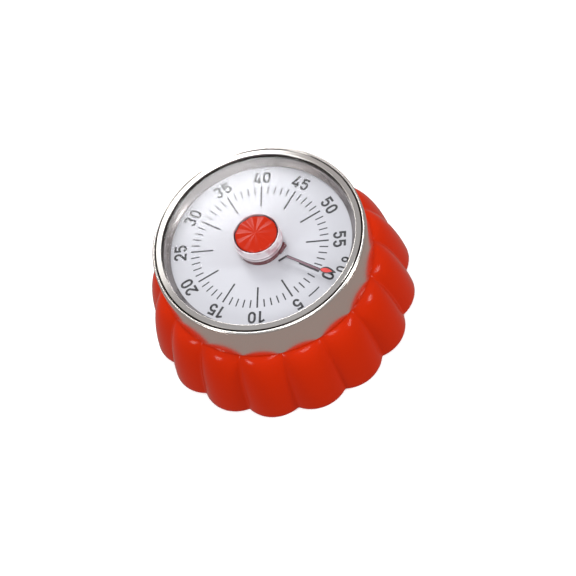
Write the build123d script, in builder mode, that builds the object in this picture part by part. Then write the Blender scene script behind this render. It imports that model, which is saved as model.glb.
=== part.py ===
from build123d import *
import os
from math import acos, atan2, cos, degrees, pi, radians, sin, tan

# Clockwork kitchen timer, millimetres, +Z up through the dial.
# Origin: centre of the resting face. +Y points at the zero mark of the dial.

# ---- Driving dimensions -----------------------------------------------------

# Heights of the main levels
SHELL_BOTTOM = 0.6
SHELL_TOP = 23.1
LEDGE_TOP = 29.2
NECK_TOP = 31.2
DIAL_TOP = 32.0
RIM_TOP = 36.7
CAP_TOP = 39.6

# Scalloped shell
LOBES = 16
LOBE_PHASE = 4.75
SHOULDER_RADIUS = 30.2
FLARE = 10.0
RISE_POWER = 1.27
ROUND_POWER = 2.57
GROOVE_DEPTH = 2.3
GROOVE_FILLET = 0.5
WALL = 2.0
SECTION_STEPS = 8
RUN_OUT = 0.2

# Neck that the ring turns round
NECK_INNER = 28.6
NECK_OUTER = 30.0
LEDGE_INNER = 26.0

# Turning ring
RING_OUTER = 31.7
RING_WALL = 0.8
RING_BOTTOM = 23.4
RIM_INNER = 28.7
TUBE_OUTER = 6.9
TUBE_INNER = 5.9
TUBE_BOTTOM = 32.5
TUBE_TOP = 38.6
CAP_SEAT = 36.6
CAP_RADIUS = 6.55
CAP_RIDGES = 10
CAP_EDGE = 0.5
LENS_BOTTOM = 34.7
LENS_TOP = 35.9
ROLLED_EDGE = 35.6
RETAINER_BOTTOM = 32.4
RETAINER_INNER = 27.0
RETAINER_MOUTH = 28.4

# Dial and pointer
DIAL_RADIUS = 28.2
DIAL_HOLE = 3.0
POINTER_THICKNESS = 0.4
HOOK_START = (2.9, 9.1)
HOOK_BEND = (0.5, 10.4)
LEAF_START = (0.35, 21.6)
LEAF_LEFT = (-1.15, 23.1)
LEAF_RIGHT = (0.75, 23.9)
POINTER_TIP = (-0.8, 26.4)
HOOK_WIDTH = 0.5
NEEDLE_WIDTH = 0.75

# Movement
BACK_PLATE = 11.0
FRONT_PLATE = 23.0
PLATE = 1.0
PLATE_RADIUS = 25.0
SPINDLE = 2.0
SPINDLE_TOP = 35.8
SPINDLE_FLAT_FROM = 32.8
SPINDLE_FLAT = 1.4
PIVOT = 0.5
ARBOR = 0.8
PRESSURE_ANGLE = 25.0
ADDENDUM = 0.85
DEDENDUM = 1.2
BACKLASH = 0.12

GREAT_TEETH = 60
WHEEL_TEETH = 48
PINION_TEETH = 12
FIRST_MODULE = 0.45
SECOND_MODULE = 0.35
THIRD_MODULE = 0.3
ESCAPE_TEETH = 20
ESCAPE_RADIUS = 5.0
ESCAPE_TOOTH = 1.1
ESCAPE_RAKE = 3.0
RATCHET_TEETH = 12
RATCHET_ROOT = 3.4
RATCHET_TIP = 4.2
PIN_REACH = 6.1
PIN_SPREAD = 45

# Levels of the movement, undersides
ESCAPE_LEVEL = 13.8
LEVER_LEVEL = 12.9
GREAT_LEVEL = 16.0
BALANCE_LEVEL = 16.6
CLICK_LEVEL = 17.2
RATCHET_LEVEL = 17.3
SECOND_WHEEL_LEVEL = 18.7
THIRD_WHEEL_LEVEL = 20.2
CAM_LEVEL = 21.6
SECOND_PINION_LEVEL = 15.8
THIRD_PINION_LEVEL = 18.5
ESCAPE_PINION_LEVEL = 20.0

GREAT_THICKNESS = 1.0
WHEEL_THICKNESS = 0.8
ESCAPE_THICKNESS = 0.7
LEVER_THICKNESS = 0.6
STEEL_THICKNESS = 0.9

# Angle of the first arbor about the spindle, and how far out the others stand
SECOND_ANGLE = 200.0
THIRD_REACH = 17.0
ESCAPE_REACH = 17.5
PALLET_REACH = 19.5
PALLET_CENTRES = 7.6

# Mainspring
BARREL_TOP = 15.6
BARREL_RADIUS = 10.6
BARREL_WALL = 0.6
COIL_START = 2.3
COIL_STEP = 1.05
COIL_HALF_TURNS = 14
COIL_THICKNESS = 0.24

# Click that drives the great wheel
CLICK_PIN = 0.7
CLICK_REACH = 6.8
CLICK_CLEARANCE = 0.05

# Hammer
HAMMER_REACH = 13.0
HAMMER_LEVEL = 7.2
HAMMER_STUD = 0.95
HAMMER_STUD_BOTTOM = 6.4
HAMMER_SPRING_LEVEL = 8.5
HEAD_RADIUS = 2.2
HEAD_BOTTOM = 5.6
HEAD_PEG = 0.6

# Base
COVER_BOTTOM = 1.0
COVER_THICKNESS = 2.0
COVER_GAP = 0.6
BOSS_REACH = 30.0
BOSS_RADIUS = 2.6
BOSS_BOTTOM = 3.0
BOSS_HOLE_DEPTH = 9.0
FOOT_INNER = 23.0
FOOT_OUTER = 27.0
FOOT_HEIGHT = 1.6
FOOT_GAP = 0.1
FOOT_GROOVE = 0.6

# Bell
BELL_RADIUS = 22.0
BELL_SHEET = 0.7
BELL_BOTTOM = 4.2
BELL_RIM = 8.9
BELL_CORNER = 3.0
BELL_SCREW = 1.05
BELL_HOLE = 1.6
POST_RADIUS = 2.4
POST_FLANGE = 2.2
FLANGE_THICKNESS = 0.8

# Plates, pillars and screws
PILLAR = 1.7
PILLAR_THREAD = 1.0
NUT_ACROSS = 2.0
NUT_HEIGHT = 1.4
LOWER_BUSH = 2.4
LOWER_BUSH_BORE = 1.25
UPPER_BUSH = 3.2
CARRIER_POST = 2.4
CARRIER_SCREW = 0.6
MOVEMENT_SCREW = 1.0
MOVEMENT_SCREW_LENGTH = 5.0
CARRIER_RADIUS = 28.4
CARRIER_RECESS = 25.6
CARRIER_BOTTOM = 30.2
CARRIER_TOP = 31.6

os.makedirs("parts", exist_ok=True)


# ---- Shared geometry --------------------------------------------------------


def polar(reach, angle):
    """Point at a distance and an angle in degrees from the axis."""
    return (reach * cos(radians(angle)), reach * sin(radians(angle)))


def turn_for(reach, next_reach, centres):
    """Angle at the axis between two points whose reach and spacing are known."""
    return degrees(acos((reach**2 + next_reach**2 - centres**2) / (2 * reach * next_reach)))


def bearing(start, end):
    """Direction from one point to another, in degrees."""
    return degrees(atan2(end[1] - start[1], end[0] - start[0]))


def involute(angle):
    return tan(angle) - angle


def gear_outline(teeth, module, phase, centre=(0, 0)):
    """Closed gear outline with one tooth centred on phase, for use in a BuildLine."""
    pitch = teeth * module / 2
    base = pitch * cos(radians(PRESSURE_ANGLE))
    tip = pitch + ADDENDUM * module
    root = pitch - DEDENDUM * module
    at_pitch = pi / (2 * teeth) - BACKLASH / (4 * pitch) + involute(radians(PRESSURE_ANGLE))

    def point(radius, side, tooth):
        half = at_pitch - involute(acos(base / max(radius, base)))
        angle = radians(phase) + 2 * pi * tooth / teeth + side * half
        return (centre[0] + radius * cos(angle), centre[1] + radius * sin(angle))

    for tooth in range(teeth):
        ThreePointArc(point(root, -1, tooth), point(pitch, -1, tooth), point(tip, -1, tooth))
        Line(point(tip, -1, tooth), point(tip, 1, tooth))
        ThreePointArc(point(tip, 1, tooth), point(pitch, 1, tooth), point(root, 1, tooth))
        Line(point(root, 1, tooth), point(root, -1, tooth + 1))


def shell_radius(share, inset):
    """Ridge radius of the shell at a share of its height, upright below the foot."""
    rise = max(share, 0) ** RISE_POWER
    return SHOULDER_RADIUS - inset + FLARE * (1 - rise) ** (1 / ROUND_POWER)


def scalloped_section(height, ridge):
    """One horizontal section of the shell: a ring of equal arcs with softened grooves."""
    valley = ridge - GROOVE_DEPTH * ridge / (SHOULDER_RADIUS + FLARE)
    with BuildSketch(Plane.XY.offset(height)) as section:
        with BuildLine():
            for lobe in range(LOBES):
                middle = LOBE_PHASE + 360 / LOBES * lobe
                ThreePointArc(
                    polar(valley, middle - 180 / LOBES),
                    polar(ridge, middle),
                    polar(valley, middle + 180 / LOBES),
                )
        make_face()
        fillet(section.vertices(), GROOVE_FILLET)
    return section.sketch


def scalloped_sections(bottom, top, inset, steps):
    """Sections from just below the foot to the shoulder, closer together where it turns."""
    sections = []
    for step in range(steps + 1):
        share = (1 + RUN_OUT) * sin(pi / 2 * step / steps) - RUN_OUT
        sections.append(scalloped_section(bottom + share * (top - bottom), shell_radius(share, inset)))
    return sections


# ---- Arbor positions --------------------------------------------------------

FIRST_CENTRES = FIRST_MODULE * (GREAT_TEETH + PINION_TEETH) / 2
SECOND_CENTRES = SECOND_MODULE * (WHEEL_TEETH + PINION_TEETH) / 2
THIRD_CENTRES = THIRD_MODULE * (WHEEL_TEETH + PINION_TEETH) / 2

THIRD_ANGLE = SECOND_ANGLE + turn_for(FIRST_CENTRES, THIRD_REACH, SECOND_CENTRES)
ESCAPE_ANGLE = THIRD_ANGLE + turn_for(THIRD_REACH, ESCAPE_REACH, THIRD_CENTRES)
PALLET_ANGLE = ESCAPE_ANGLE + turn_for(ESCAPE_REACH, PALLET_REACH, PALLET_CENTRES)

SPINDLE_AT = (0, 0)
SECOND_AT = polar(FIRST_CENTRES, SECOND_ANGLE)
THIRD_AT = polar(THIRD_REACH, THIRD_ANGLE)
ESCAPE_AT = polar(ESCAPE_REACH, ESCAPE_ANGLE)
PALLET_AT = polar(PALLET_REACH, PALLET_ANGLE)
CLICK_AT = (CLICK_REACH, 0)
HAMMER_AT = polar(HAMMER_REACH, 75)
PILLARS_AT = [polar(22.5, angle) for angle in (20, 110, 172, 320)]
CARRIER_POSTS_AT = [polar(22.5, angle) for angle in (45, 140, 345)]
CARRIER_SCREWS_AT = [polar(27.3, angle) for angle in (30, 150, 270)]
BOSSES_AT = [polar(BOSS_REACH, angle) for angle in (27.25, 117.25, 207.25, 297.25)]

# ---- Housing ----------------------------------------------------------------

with BuildPart() as housing:
    loft(sections=scalloped_sections(SHELL_BOTTOM, SHELL_TOP, 0, SECTION_STEPS))
    loft(
        sections=scalloped_sections(SHELL_BOTTOM, SHELL_TOP - WALL, WALL, SECTION_STEPS),
        mode=Mode.SUBTRACT,
    )
    with BuildSketch(Plane.XY.offset(SHELL_BOTTOM)):
        Circle(SHOULDER_RADIUS + 2 * FLARE)
    extrude(amount=-2 * FLARE, mode=Mode.SUBTRACT)
    with BuildSketch(Plane.XY.offset(SHELL_TOP - WALL)):
        Circle(NECK_OUTER)
    extrude(amount=NECK_TOP - SHELL_TOP + WALL)
    with BuildSketch(Plane.XY.offset(SHELL_TOP - WALL)):
        Circle(NECK_INNER)
    extrude(amount=NECK_TOP - SHELL_TOP + WALL, mode=Mode.SUBTRACT)
    with BuildSketch(Plane.XY.offset(LEDGE_TOP - WALL)):
        Circle(NECK_INNER)
        Circle(LEDGE_INNER, mode=Mode.SUBTRACT)
    extrude(amount=WALL)
    with BuildSketch(Plane.XY.offset(LEDGE_TOP - WALL)):
        with Locations(CARRIER_SCREWS_AT):
            Circle(CARRIER_SCREW)
    extrude(amount=WALL, mode=Mode.SUBTRACT)
    with BuildSketch(Plane.XY.offset(BOSS_BOTTOM)):
        with Locations(BOSSES_AT):
            Circle(BOSS_RADIUS)
    extrude(amount=SHELL_TOP - WALL - BOSS_BOTTOM)
    with BuildSketch(Plane.XY.offset(BOSS_BOTTOM)):
        with Locations(BOSSES_AT):
            Circle(MOVEMENT_SCREW)
    extrude(amount=BOSS_HOLE_DEPTH, mode=Mode.SUBTRACT)
housing.part.label = "housing"
export_step(housing.part, "parts/housing.step")

# ---- Base -------------------------------------------------------------------

COVER_RIDGE = SHOULDER_RADIUS + FLARE - WALL - COVER_GAP

with BuildPart() as base_cover:
    extrude(to_extrude=scalloped_section(COVER_BOTTOM, COVER_RIDGE), amount=COVER_THICKNESS)
    with Locations(*[(x, y, COVER_BOTTOM) for x, y in BOSSES_AT]):
        with Locations(Rotation(180, 0, 0)):
            CounterBoreHole(
                radius=MOVEMENT_SCREW + 0.2,
                counter_bore_radius=2.3,
                counter_bore_depth=0.9,
                depth=COVER_THICKNESS,
            )
    with BuildSketch(Plane.XY.offset(COVER_BOTTOM)):
        Circle(FOOT_OUTER)
        Circle(FOOT_INNER, mode=Mode.SUBTRACT)
    extrude(amount=FOOT_GROOVE, mode=Mode.SUBTRACT)
base_cover.part.label = "base_cover"
export_step(base_cover.part, "parts/base_cover.step")

with BuildPart() as foot_ring:
    with BuildSketch(Plane.XY):
        Circle(FOOT_OUTER - FOOT_GAP)
        Circle(FOOT_INNER + FOOT_GAP, mode=Mode.SUBTRACT)
    extrude(amount=FOOT_HEIGHT)
    chamfer(foot_ring.edges().group_by(Axis.Z)[0], 0.3)
foot_ring.part.label = "foot_ring"
export_step(foot_ring.part, "parts/foot_ring.step")

COVER_SCREW_BOTTOM = COVER_BOTTOM + 0.1
COVER_SCREW_HEAD = 0.8

with BuildPart() as cover_screws:
    with BuildSketch(Plane.XY.offset(COVER_SCREW_BOTTOM)):
        with Locations(BOSSES_AT):
            Circle(2.1)
    extrude(amount=COVER_SCREW_HEAD)
    with BuildSketch(Plane.XY.offset(COVER_SCREW_BOTTOM + COVER_SCREW_HEAD)):
        with Locations(BOSSES_AT):
            Circle(MOVEMENT_SCREW)
    extrude(amount=8.0)
    with BuildSketch(Plane.XY.offset(COVER_SCREW_BOTTOM)):
        with Locations(BOSSES_AT):
            Rectangle(2.4, 0.5)
            Rectangle(0.5, 2.4)
    extrude(amount=0.4, mode=Mode.SUBTRACT)
cover_screws.part.label = "cover_screws"
export_step(cover_screws.part, "parts/cover_screws.step")

# ---- Bell -------------------------------------------------------------------

def bell_corner(radius):
    """Rounded corner of the bell, from the flat to the rim."""
    middle = (BELL_RADIUS - BELL_CORNER, BELL_BOTTOM + BELL_CORNER)
    ThreePointArc(
        (middle[0], middle[1] - radius),
        (middle[0] + radius * cos(pi / 4), middle[1] - radius * sin(pi / 4)),
        (middle[0] + radius, middle[1]),
    )


with BuildPart() as bell:
    with BuildSketch(Plane.XZ):
        with BuildLine():
            Line((BELL_HOLE, BELL_BOTTOM), (BELL_RADIUS - BELL_CORNER, BELL_BOTTOM))
            bell_corner(BELL_CORNER)
            Polyline(
                (BELL_RADIUS, BELL_BOTTOM + BELL_CORNER),
                (BELL_RADIUS, BELL_RIM),
                (BELL_RADIUS - BELL_SHEET, BELL_RIM),
                (BELL_RADIUS - BELL_SHEET, BELL_BOTTOM + BELL_CORNER),
            )
            bell_corner(BELL_CORNER - BELL_SHEET)
            Polyline(
                (BELL_RADIUS - BELL_CORNER, BELL_BOTTOM + BELL_SHEET),
                (BELL_HOLE, BELL_BOTTOM + BELL_SHEET),
                (BELL_HOLE, BELL_BOTTOM),
            )
        make_face()
    revolve(axis=Axis.Z)
bell.part.label = "bell"
export_step(bell.part, "parts/bell.step")

POST_LUGS_AT = [polar(6.0, angle) for angle in (0, 120, 240)]

with BuildPart() as bell_post:
    with BuildSketch(Plane.XY.offset(BELL_BOTTOM + BELL_SHEET)):
        Circle(POST_RADIUS)
    extrude(amount=BACK_PLATE - POST_FLANGE - BELL_BOTTOM - BELL_SHEET)
    with BuildSketch(Plane.XY.offset(BACK_PLATE - POST_FLANGE)):
        RegularPolygon(7.0, 3)
        with Locations(POST_LUGS_AT):
            Circle(1.6)
    extrude(amount=FLANGE_THICKNESS)
    with BuildSketch(Plane.XY.offset(BACK_PLATE - POST_FLANGE + FLANGE_THICKNESS)):
        with Locations(POST_LUGS_AT):
            Circle(1.2)
    extrude(amount=POST_FLANGE - FLANGE_THICKNESS)
    with BuildSketch(Plane.XY.offset(BELL_BOTTOM + BELL_SHEET)):
        Circle(BELL_SCREW)
    extrude(amount=2.6, mode=Mode.SUBTRACT)
bell_post.part.label = "bell_post"
export_step(bell_post.part, "parts/bell_post.step")

with BuildPart() as bell_screw:
    with BuildSketch(Plane.XY.offset(BELL_BOTTOM - FLANGE_THICKNESS)):
        Circle(POST_RADIUS)
        Rectangle(5.0, 0.6, mode=Mode.SUBTRACT)
    extrude(amount=FLANGE_THICKNESS / 2)
    with BuildSketch(Plane.XY.offset(BELL_BOTTOM - FLANGE_THICKNESS / 2)):
        Circle(POST_RADIUS)
    extrude(amount=FLANGE_THICKNESS / 2)
    with BuildSketch(Plane.XY.offset(BELL_BOTTOM)):
        Circle(BELL_SCREW)
    extrude(amount=3.0)
bell_screw.part.label = "bell_screw"
export_step(bell_screw.part, "parts/bell_screw.step")

# ---- Movement frame ---------------------------------------------------------

ARBORS_AT = [SECOND_AT, THIRD_AT, ESCAPE_AT, PALLET_AT]

with BuildPart() as back_plate:
    with BuildSketch(Plane.XY.offset(BACK_PLATE)):
        Circle(PLATE_RADIUS)
        Circle(LOWER_BUSH, mode=Mode.SUBTRACT)
        with Locations(ARBORS_AT):
            Circle(PIVOT + 0.05, mode=Mode.SUBTRACT)
        with Locations(PILLARS_AT):
            Circle(PILLAR_THREAD, mode=Mode.SUBTRACT)
        with Locations(HAMMER_AT):
            Circle(HAMMER_STUD + 0.05, mode=Mode.SUBTRACT)
        with PolarLocations(20.0, 1, 135):
            SlotOverall(10, 4, rotation=90, mode=Mode.SUBTRACT)
    extrude(amount=PLATE)
back_plate.part.label = "back_plate"
export_step(back_plate.part, "parts/back_plate.step")

with BuildPart() as front_plate:
    with BuildSketch(Plane.XY.offset(FRONT_PLATE)):
        Circle(PLATE_RADIUS)
        Circle(UPPER_BUSH, mode=Mode.SUBTRACT)
        with Locations(ARBORS_AT):
            Circle(PIVOT + 0.05, mode=Mode.SUBTRACT)
        with Locations(PILLARS_AT):
            Circle(PILLAR_THREAD, mode=Mode.SUBTRACT)
        with Locations(CARRIER_POSTS_AT):
            Circle(MOVEMENT_SCREW + 0.1, mode=Mode.SUBTRACT)
        with PolarLocations(12.0, 1, 90):
            SlotOverall(14, 6, rotation=90, mode=Mode.SUBTRACT)
    extrude(amount=PLATE)
front_plate.part.label = "front_plate"
export_step(front_plate.part, "parts/front_plate.step")

PILLAR_END = NUT_HEIGHT + 0.2

with BuildPart() as plate_pillars:
    with BuildSketch(Plane.XY.offset(BACK_PLATE + PLATE)):
        with Locations(PILLARS_AT):
            Circle(PILLAR)
    extrude(amount=FRONT_PLATE - BACK_PLATE - PLATE)
    with BuildSketch(Plane.XY.offset(BACK_PLATE - PILLAR_END)):
        with Locations(PILLARS_AT):
            Circle(PILLAR_THREAD)
    extrude(amount=FRONT_PLATE - BACK_PLATE + PLATE + 2 * PILLAR_END)
plate_pillars.part.label = "plate_pillars"
export_step(plate_pillars.part, "parts/plate_pillars.step")

with BuildPart() as pillar_nuts:
    for height in (BACK_PLATE - NUT_HEIGHT, FRONT_PLATE + PLATE):
        with BuildSketch(Plane.XY.offset(height)):
            with Locations(PILLARS_AT):
                RegularPolygon(NUT_ACROSS, 6)
                Circle(PILLAR_THREAD, mode=Mode.SUBTRACT)
        extrude(amount=NUT_HEIGHT)
pillar_nuts.part.label = "pillar_nuts"
export_step(pillar_nuts.part, "parts/pillar_nuts.step")

with BuildPart() as spindle_bushes:
    with BuildSketch(Plane.XY.offset(BACK_PLATE - 0.3)):
        Circle(LOWER_BUSH)
        Circle(LOWER_BUSH_BORE, mode=Mode.SUBTRACT)
    extrude(amount=PLATE + 0.3)
    with BuildSketch(Plane.XY.offset(FRONT_PLATE)):
        Circle(UPPER_BUSH)
        Circle(SPINDLE + 0.05, mode=Mode.SUBTRACT)
    extrude(amount=PLATE + 0.6)
spindle_bushes.part.label = "spindle_bushes"
export_step(spindle_bushes.part, "parts/spindle_bushes.step")

# ---- Mainspring -------------------------------------------------------------

BARREL_FLOOR = BACK_PLATE + PLATE

with BuildPart() as spring_barrel:
    with BuildSketch(Plane.XY.offset(BARREL_FLOOR)):
        Circle(BARREL_RADIUS)
        Circle(2.8, mode=Mode.SUBTRACT)
    extrude(amount=BARREL_TOP - BARREL_FLOOR)
    with BuildSketch(Plane.XY.offset(BARREL_FLOOR + 0.5)):
        Circle(BARREL_RADIUS - BARREL_WALL)
    extrude(amount=BARREL_TOP - BARREL_FLOOR - 0.5, mode=Mode.SUBTRACT)
spring_barrel.part.label = "spring_barrel"
export_step(spring_barrel.part, "parts/spring_barrel.step")

with BuildPart() as mainspring:
    with BuildSketch(Plane.XY.offset(BARREL_FLOOR + 0.8)):
        with BuildLine() as coil:
            side = 1
            end = (COIL_START, 0)
            for half_turn in range(COIL_HALF_TURNS):
                radius = COIL_START + COIL_STEP / 2 * (half_turn + 1)
                start = end
                end = (start[0] - 2 * side * radius, 0)
                ThreePointArc(start, (start[0] - side * radius, side * radius), end)
                side = -side
        trace(coil.edges(), line_width=COIL_THICKNESS)
    extrude(amount=BARREL_TOP - BARREL_FLOOR - 1.2)
mainspring.part.label = "mainspring"
export_step(mainspring.part, "parts/mainspring.step")

# ---- Spindle and what turns with the ring -----------------------------------

with BuildPart() as spindle:
    with BuildSketch(Plane.XY.offset(BACK_PLATE - 1.0)):
        Circle(LOWER_BUSH_BORE - 0.05)
    extrude(amount=BARREL_FLOOR - BACK_PLATE + 1.1)
    with BuildSketch(Plane.XY.offset(BARREL_FLOOR + 0.1)):
        Circle(SPINDLE)
    extrude(amount=SPINDLE_TOP - BARREL_FLOOR - 0.1)
    with BuildSketch(Plane.XY.offset(SPINDLE_FLAT_FROM)):
        with Locations((SPINDLE + SPINDLE_FLAT, 0)):
            Rectangle(4.0, 6.0)
    extrude(amount=SPINDLE_TOP - SPINDLE_FLAT_FROM, mode=Mode.SUBTRACT)
spindle.part.label = "spindle"
export_step(spindle.part, "parts/spindle.step")

with BuildPart() as ratchet_wheel:
    with BuildSketch(Plane.XY.offset(RATCHET_LEVEL)):
        with BuildLine():
            for tooth in range(RATCHET_TEETH):
                angle = 360 / RATCHET_TEETH * tooth
                Line(polar(RATCHET_ROOT, angle), polar(RATCHET_TIP, angle))
                Line(polar(RATCHET_TIP, angle), polar(RATCHET_ROOT, angle + 360 / RATCHET_TEETH))
        make_face()
        Circle(SPINDLE, mode=Mode.SUBTRACT)
    extrude(amount=STEEL_THICKNESS)
ratchet_wheel.part.label = "ratchet_wheel"
export_step(ratchet_wheel.part, "parts/ratchet_wheel.step")

CAM_RADIUS = 6.0
CAM_NOTCH = 1.2

with BuildPart() as release_cam:
    with BuildSketch(Plane.XY.offset(CAM_LEVEL)):
        Circle(CAM_RADIUS)
        with Locations((0, CAM_RADIUS)):
            Circle(CAM_NOTCH, mode=Mode.SUBTRACT)
        Circle(SPINDLE, mode=Mode.SUBTRACT)
    extrude(amount=STEEL_THICKNESS)
release_cam.part.label = "release_cam"
export_step(release_cam.part, "parts/release_cam.step")

with BuildPart() as drive_hub:
    with BuildSketch(Plane.XY.offset(TUBE_BOTTOM)):
        Circle(TUBE_INNER)
    extrude(amount=CAP_SEAT - TUBE_BOTTOM)
    with BuildSketch(Plane.XY.offset(TUBE_BOTTOM)):
        Circle(SPINDLE)
        with Locations((SPINDLE + SPINDLE_FLAT, 0)):
            Rectangle(4.0, 6.0, mode=Mode.SUBTRACT)
    extrude(amount=CAP_SEAT - TUBE_BOTTOM, mode=Mode.SUBTRACT)
    with BuildSketch(Plane.XY.offset(TUBE_BOTTOM)):
        Circle(SPINDLE)
    extrude(amount=SPINDLE_FLAT_FROM - TUBE_BOTTOM, mode=Mode.SUBTRACT)
drive_hub.part.label = "drive_hub"
export_step(drive_hub.part, "parts/drive_hub.step")

LENS_EDGE = RING_OUTER - RING_WALL - 0.1
CAP_BORE = CAP_RADIUS + 0.05

with BuildPart() as lens:
    with BuildSketch(Plane.XZ):
        with BuildLine():
            Polyline(
                (TUBE_INNER, TUBE_BOTTOM),
                (TUBE_OUTER, TUBE_BOTTOM),
                (TUBE_OUTER, LENS_BOTTOM),
                (LENS_EDGE, LENS_BOTTOM),
                (LENS_EDGE, ROLLED_EDGE - 0.1),
                (RIM_INNER + 1.0, LENS_TOP - 0.1),
                (TUBE_OUTER, LENS_TOP),
                (TUBE_OUTER, TUBE_TOP),
                (CAP_BORE, TUBE_TOP),
                (CAP_BORE, CAP_SEAT),
                (TUBE_INNER, CAP_SEAT),
                (TUBE_INNER, TUBE_BOTTOM),
            )
        make_face()
    revolve(axis=Axis.Z)
lens.part.label = "lens"
export_step(lens.part, "parts/lens.step")

with BuildPart() as centre_cap:
    with BuildSketch(Plane.XY.offset(CAP_SEAT)):
        Circle(CAP_RADIUS)
    extrude(amount=CAP_TOP - CAP_SEAT - CAP_EDGE)
    with BuildSketch(Plane.XY.offset(CAP_TOP - CAP_EDGE)):
        Circle(CAP_RADIUS)
    extrude(amount=CAP_EDGE, taper=45)
    with BuildSketch(Plane.XY.offset(CAP_TOP - 1.0)):
        with PolarLocations(CAP_RADIUS + 0.2, CAP_RIDGES, 18):
            Circle(0.7)
    extrude(amount=1.0, mode=Mode.SUBTRACT)
centre_cap.part.label = "centre_cap"
export_step(centre_cap.part, "parts/centre_cap.step")

with BuildPart() as bezel_ring:
    with BuildSketch(Plane.XZ):
        with BuildLine():
            Line((RING_OUTER, RING_BOTTOM), (RING_OUTER, ROLLED_EDGE))
            ThreePointArc(
                (RING_OUTER, ROLLED_EDGE),
                (RING_OUTER - 0.2, ROLLED_EDGE + 0.5),
                (RING_OUTER - 0.7, ROLLED_EDGE + 0.7),
            )
            Polyline(
                (RING_OUTER - 0.7, ROLLED_EDGE + 0.7),
                (RIM_INNER, RIM_TOP),
                (RIM_INNER, RIM_TOP - 0.7),
                (RING_OUTER - RING_WALL, ROLLED_EDGE),
                (RING_OUTER - RING_WALL, RING_BOTTOM),
                (RING_OUTER, RING_BOTTOM),
            )
        make_face()
    revolve(axis=Axis.Z)
bezel_ring.part.label = "bezel_ring"
export_step(bezel_ring.part, "parts/bezel_ring.step")

with BuildPart() as retaining_ring:
    with BuildSketch(Plane.XZ):
        with BuildLine():
            Polyline(
                (RETAINER_INNER, RETAINER_BOTTOM),
                (RING_OUTER - RING_WALL, RETAINER_BOTTOM),
                (RING_OUTER - RING_WALL, LENS_BOTTOM),
                (RETAINER_MOUTH, LENS_BOTTOM),
                (RETAINER_INNER, RETAINER_BOTTOM),
            )
        make_face()
    revolve(axis=Axis.Z)
retaining_ring.part.label = "retaining_ring"
export_step(retaining_ring.part, "parts/retaining_ring.step")

with BuildPart() as pointer:
    with BuildSketch(Plane.XY.offset(LENS_BOTTOM - POINTER_THICKNESS)):
        with BuildLine():
            Line(HOOK_START, HOOK_BEND)
        trace(line_width=HOOK_WIDTH)
        with BuildLine():
            Line(HOOK_BEND, LEAF_START)
        trace(line_width=NEEDLE_WIDTH)
        with BuildLine():
            Spline(LEAF_START, LEAF_LEFT, POINTER_TIP)
            Spline(POINTER_TIP, LEAF_RIGHT, LEAF_START)
        make_face()
        with Locations(HOOK_BEND):
            Circle(NEEDLE_WIDTH / 2)
        with Locations(LEAF_START):
            Circle(NEEDLE_WIDTH / 2)
    extrude(amount=POINTER_THICKNESS)
pointer.part.label = "pointer"
export_step(pointer.part, "parts/pointer.step")

# ---- Going train ------------------------------------------------------------

GREAT_PHASE = bearing(SPINDLE_AT, SECOND_AT)
SECOND_PHASE = bearing(SECOND_AT, THIRD_AT)
THIRD_PHASE = bearing(THIRD_AT, ESCAPE_AT)
HALF_PITCH = 180 / PINION_TEETH

with BuildPart() as great_wheel:
    with BuildSketch(Plane.XY.offset(GREAT_LEVEL)):
        with BuildLine():
            gear_outline(GREAT_TEETH, FIRST_MODULE, GREAT_PHASE)
        make_face()
        Circle(SPINDLE + 0.05, mode=Mode.SUBTRACT)
        with Locations(CLICK_AT):
            Circle(CLICK_PIN, mode=Mode.SUBTRACT)
        with PolarLocations(9.4, 3, 90):
            Circle(2.2, mode=Mode.SUBTRACT)
    extrude(amount=GREAT_THICKNESS)
great_wheel.part.label = "great_wheel"
export_step(great_wheel.part, "parts/great_wheel.step")

with BuildPart() as click_pin:
    with BuildSketch(Plane.XY.offset(GREAT_LEVEL)):
        with Locations(CLICK_AT):
            Circle(CLICK_PIN)
    extrude(amount=CLICK_LEVEL + STEEL_THICKNESS + 0.1 - GREAT_LEVEL)
click_pin.part.label = "click_pin"
export_step(click_pin.part, "parts/click_pin.step")

with BuildPart() as click:
    with BuildSketch(Plane.XY.offset(CLICK_LEVEL)):
        with Locations(CLICK_AT):
            Circle(2 * CLICK_PIN)
        with BuildLine():
            Polyline((7.6, 0.6), (5.0, 3.6), (4.3, 3.4), (5.4, 0.2), (7.6, 0.6))
        make_face()
        with Locations(CLICK_AT):
            Circle(CLICK_PIN + CLICK_CLEARANCE, mode=Mode.SUBTRACT)
    extrude(amount=STEEL_THICKNESS)
click.part.label = "click"
export_step(click.part, "parts/click.step")


def train_arbor(at, pinion_level, pinion_length, module, phase):
    """Steel arbor between the plates, with its pinion and a pivot at each end."""
    with BuildPart() as arbor:
        with BuildSketch(Plane.XY.offset(BACK_PLATE - 0.2)):
            with Locations(at):
                Circle(PIVOT)
        extrude(amount=FRONT_PLATE - BACK_PLATE + PLATE + 0.4)
        with BuildSketch(Plane.XY.offset(BACK_PLATE + PLATE + 0.2)):
            with Locations(at):
                Circle(ARBOR)
        extrude(amount=FRONT_PLATE - BACK_PLATE - PLATE - 0.4)
        with BuildSketch(Plane.XY.offset(pinion_level)):
            with BuildLine():
                gear_outline(PINION_TEETH, module, phase, at)
            make_face()
        extrude(amount=pinion_length)
    return arbor


def train_wheel(at, bottom, module, phase, spokes):
    """Brass wheel with round windows, pressed on its arbor."""
    with BuildPart() as wheel:
        with BuildSketch(Plane.XY.offset(bottom)):
            with BuildLine():
                gear_outline(WHEEL_TEETH, module, phase, at)
            make_face()
            with Locations(at):
                Circle(ARBOR, mode=Mode.SUBTRACT)
                with PolarLocations(WHEEL_TEETH * module * 0.28, spokes, phase):
                    Circle(WHEEL_TEETH * module * 0.11, mode=Mode.SUBTRACT)
        extrude(amount=WHEEL_THICKNESS)
    return wheel


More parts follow.
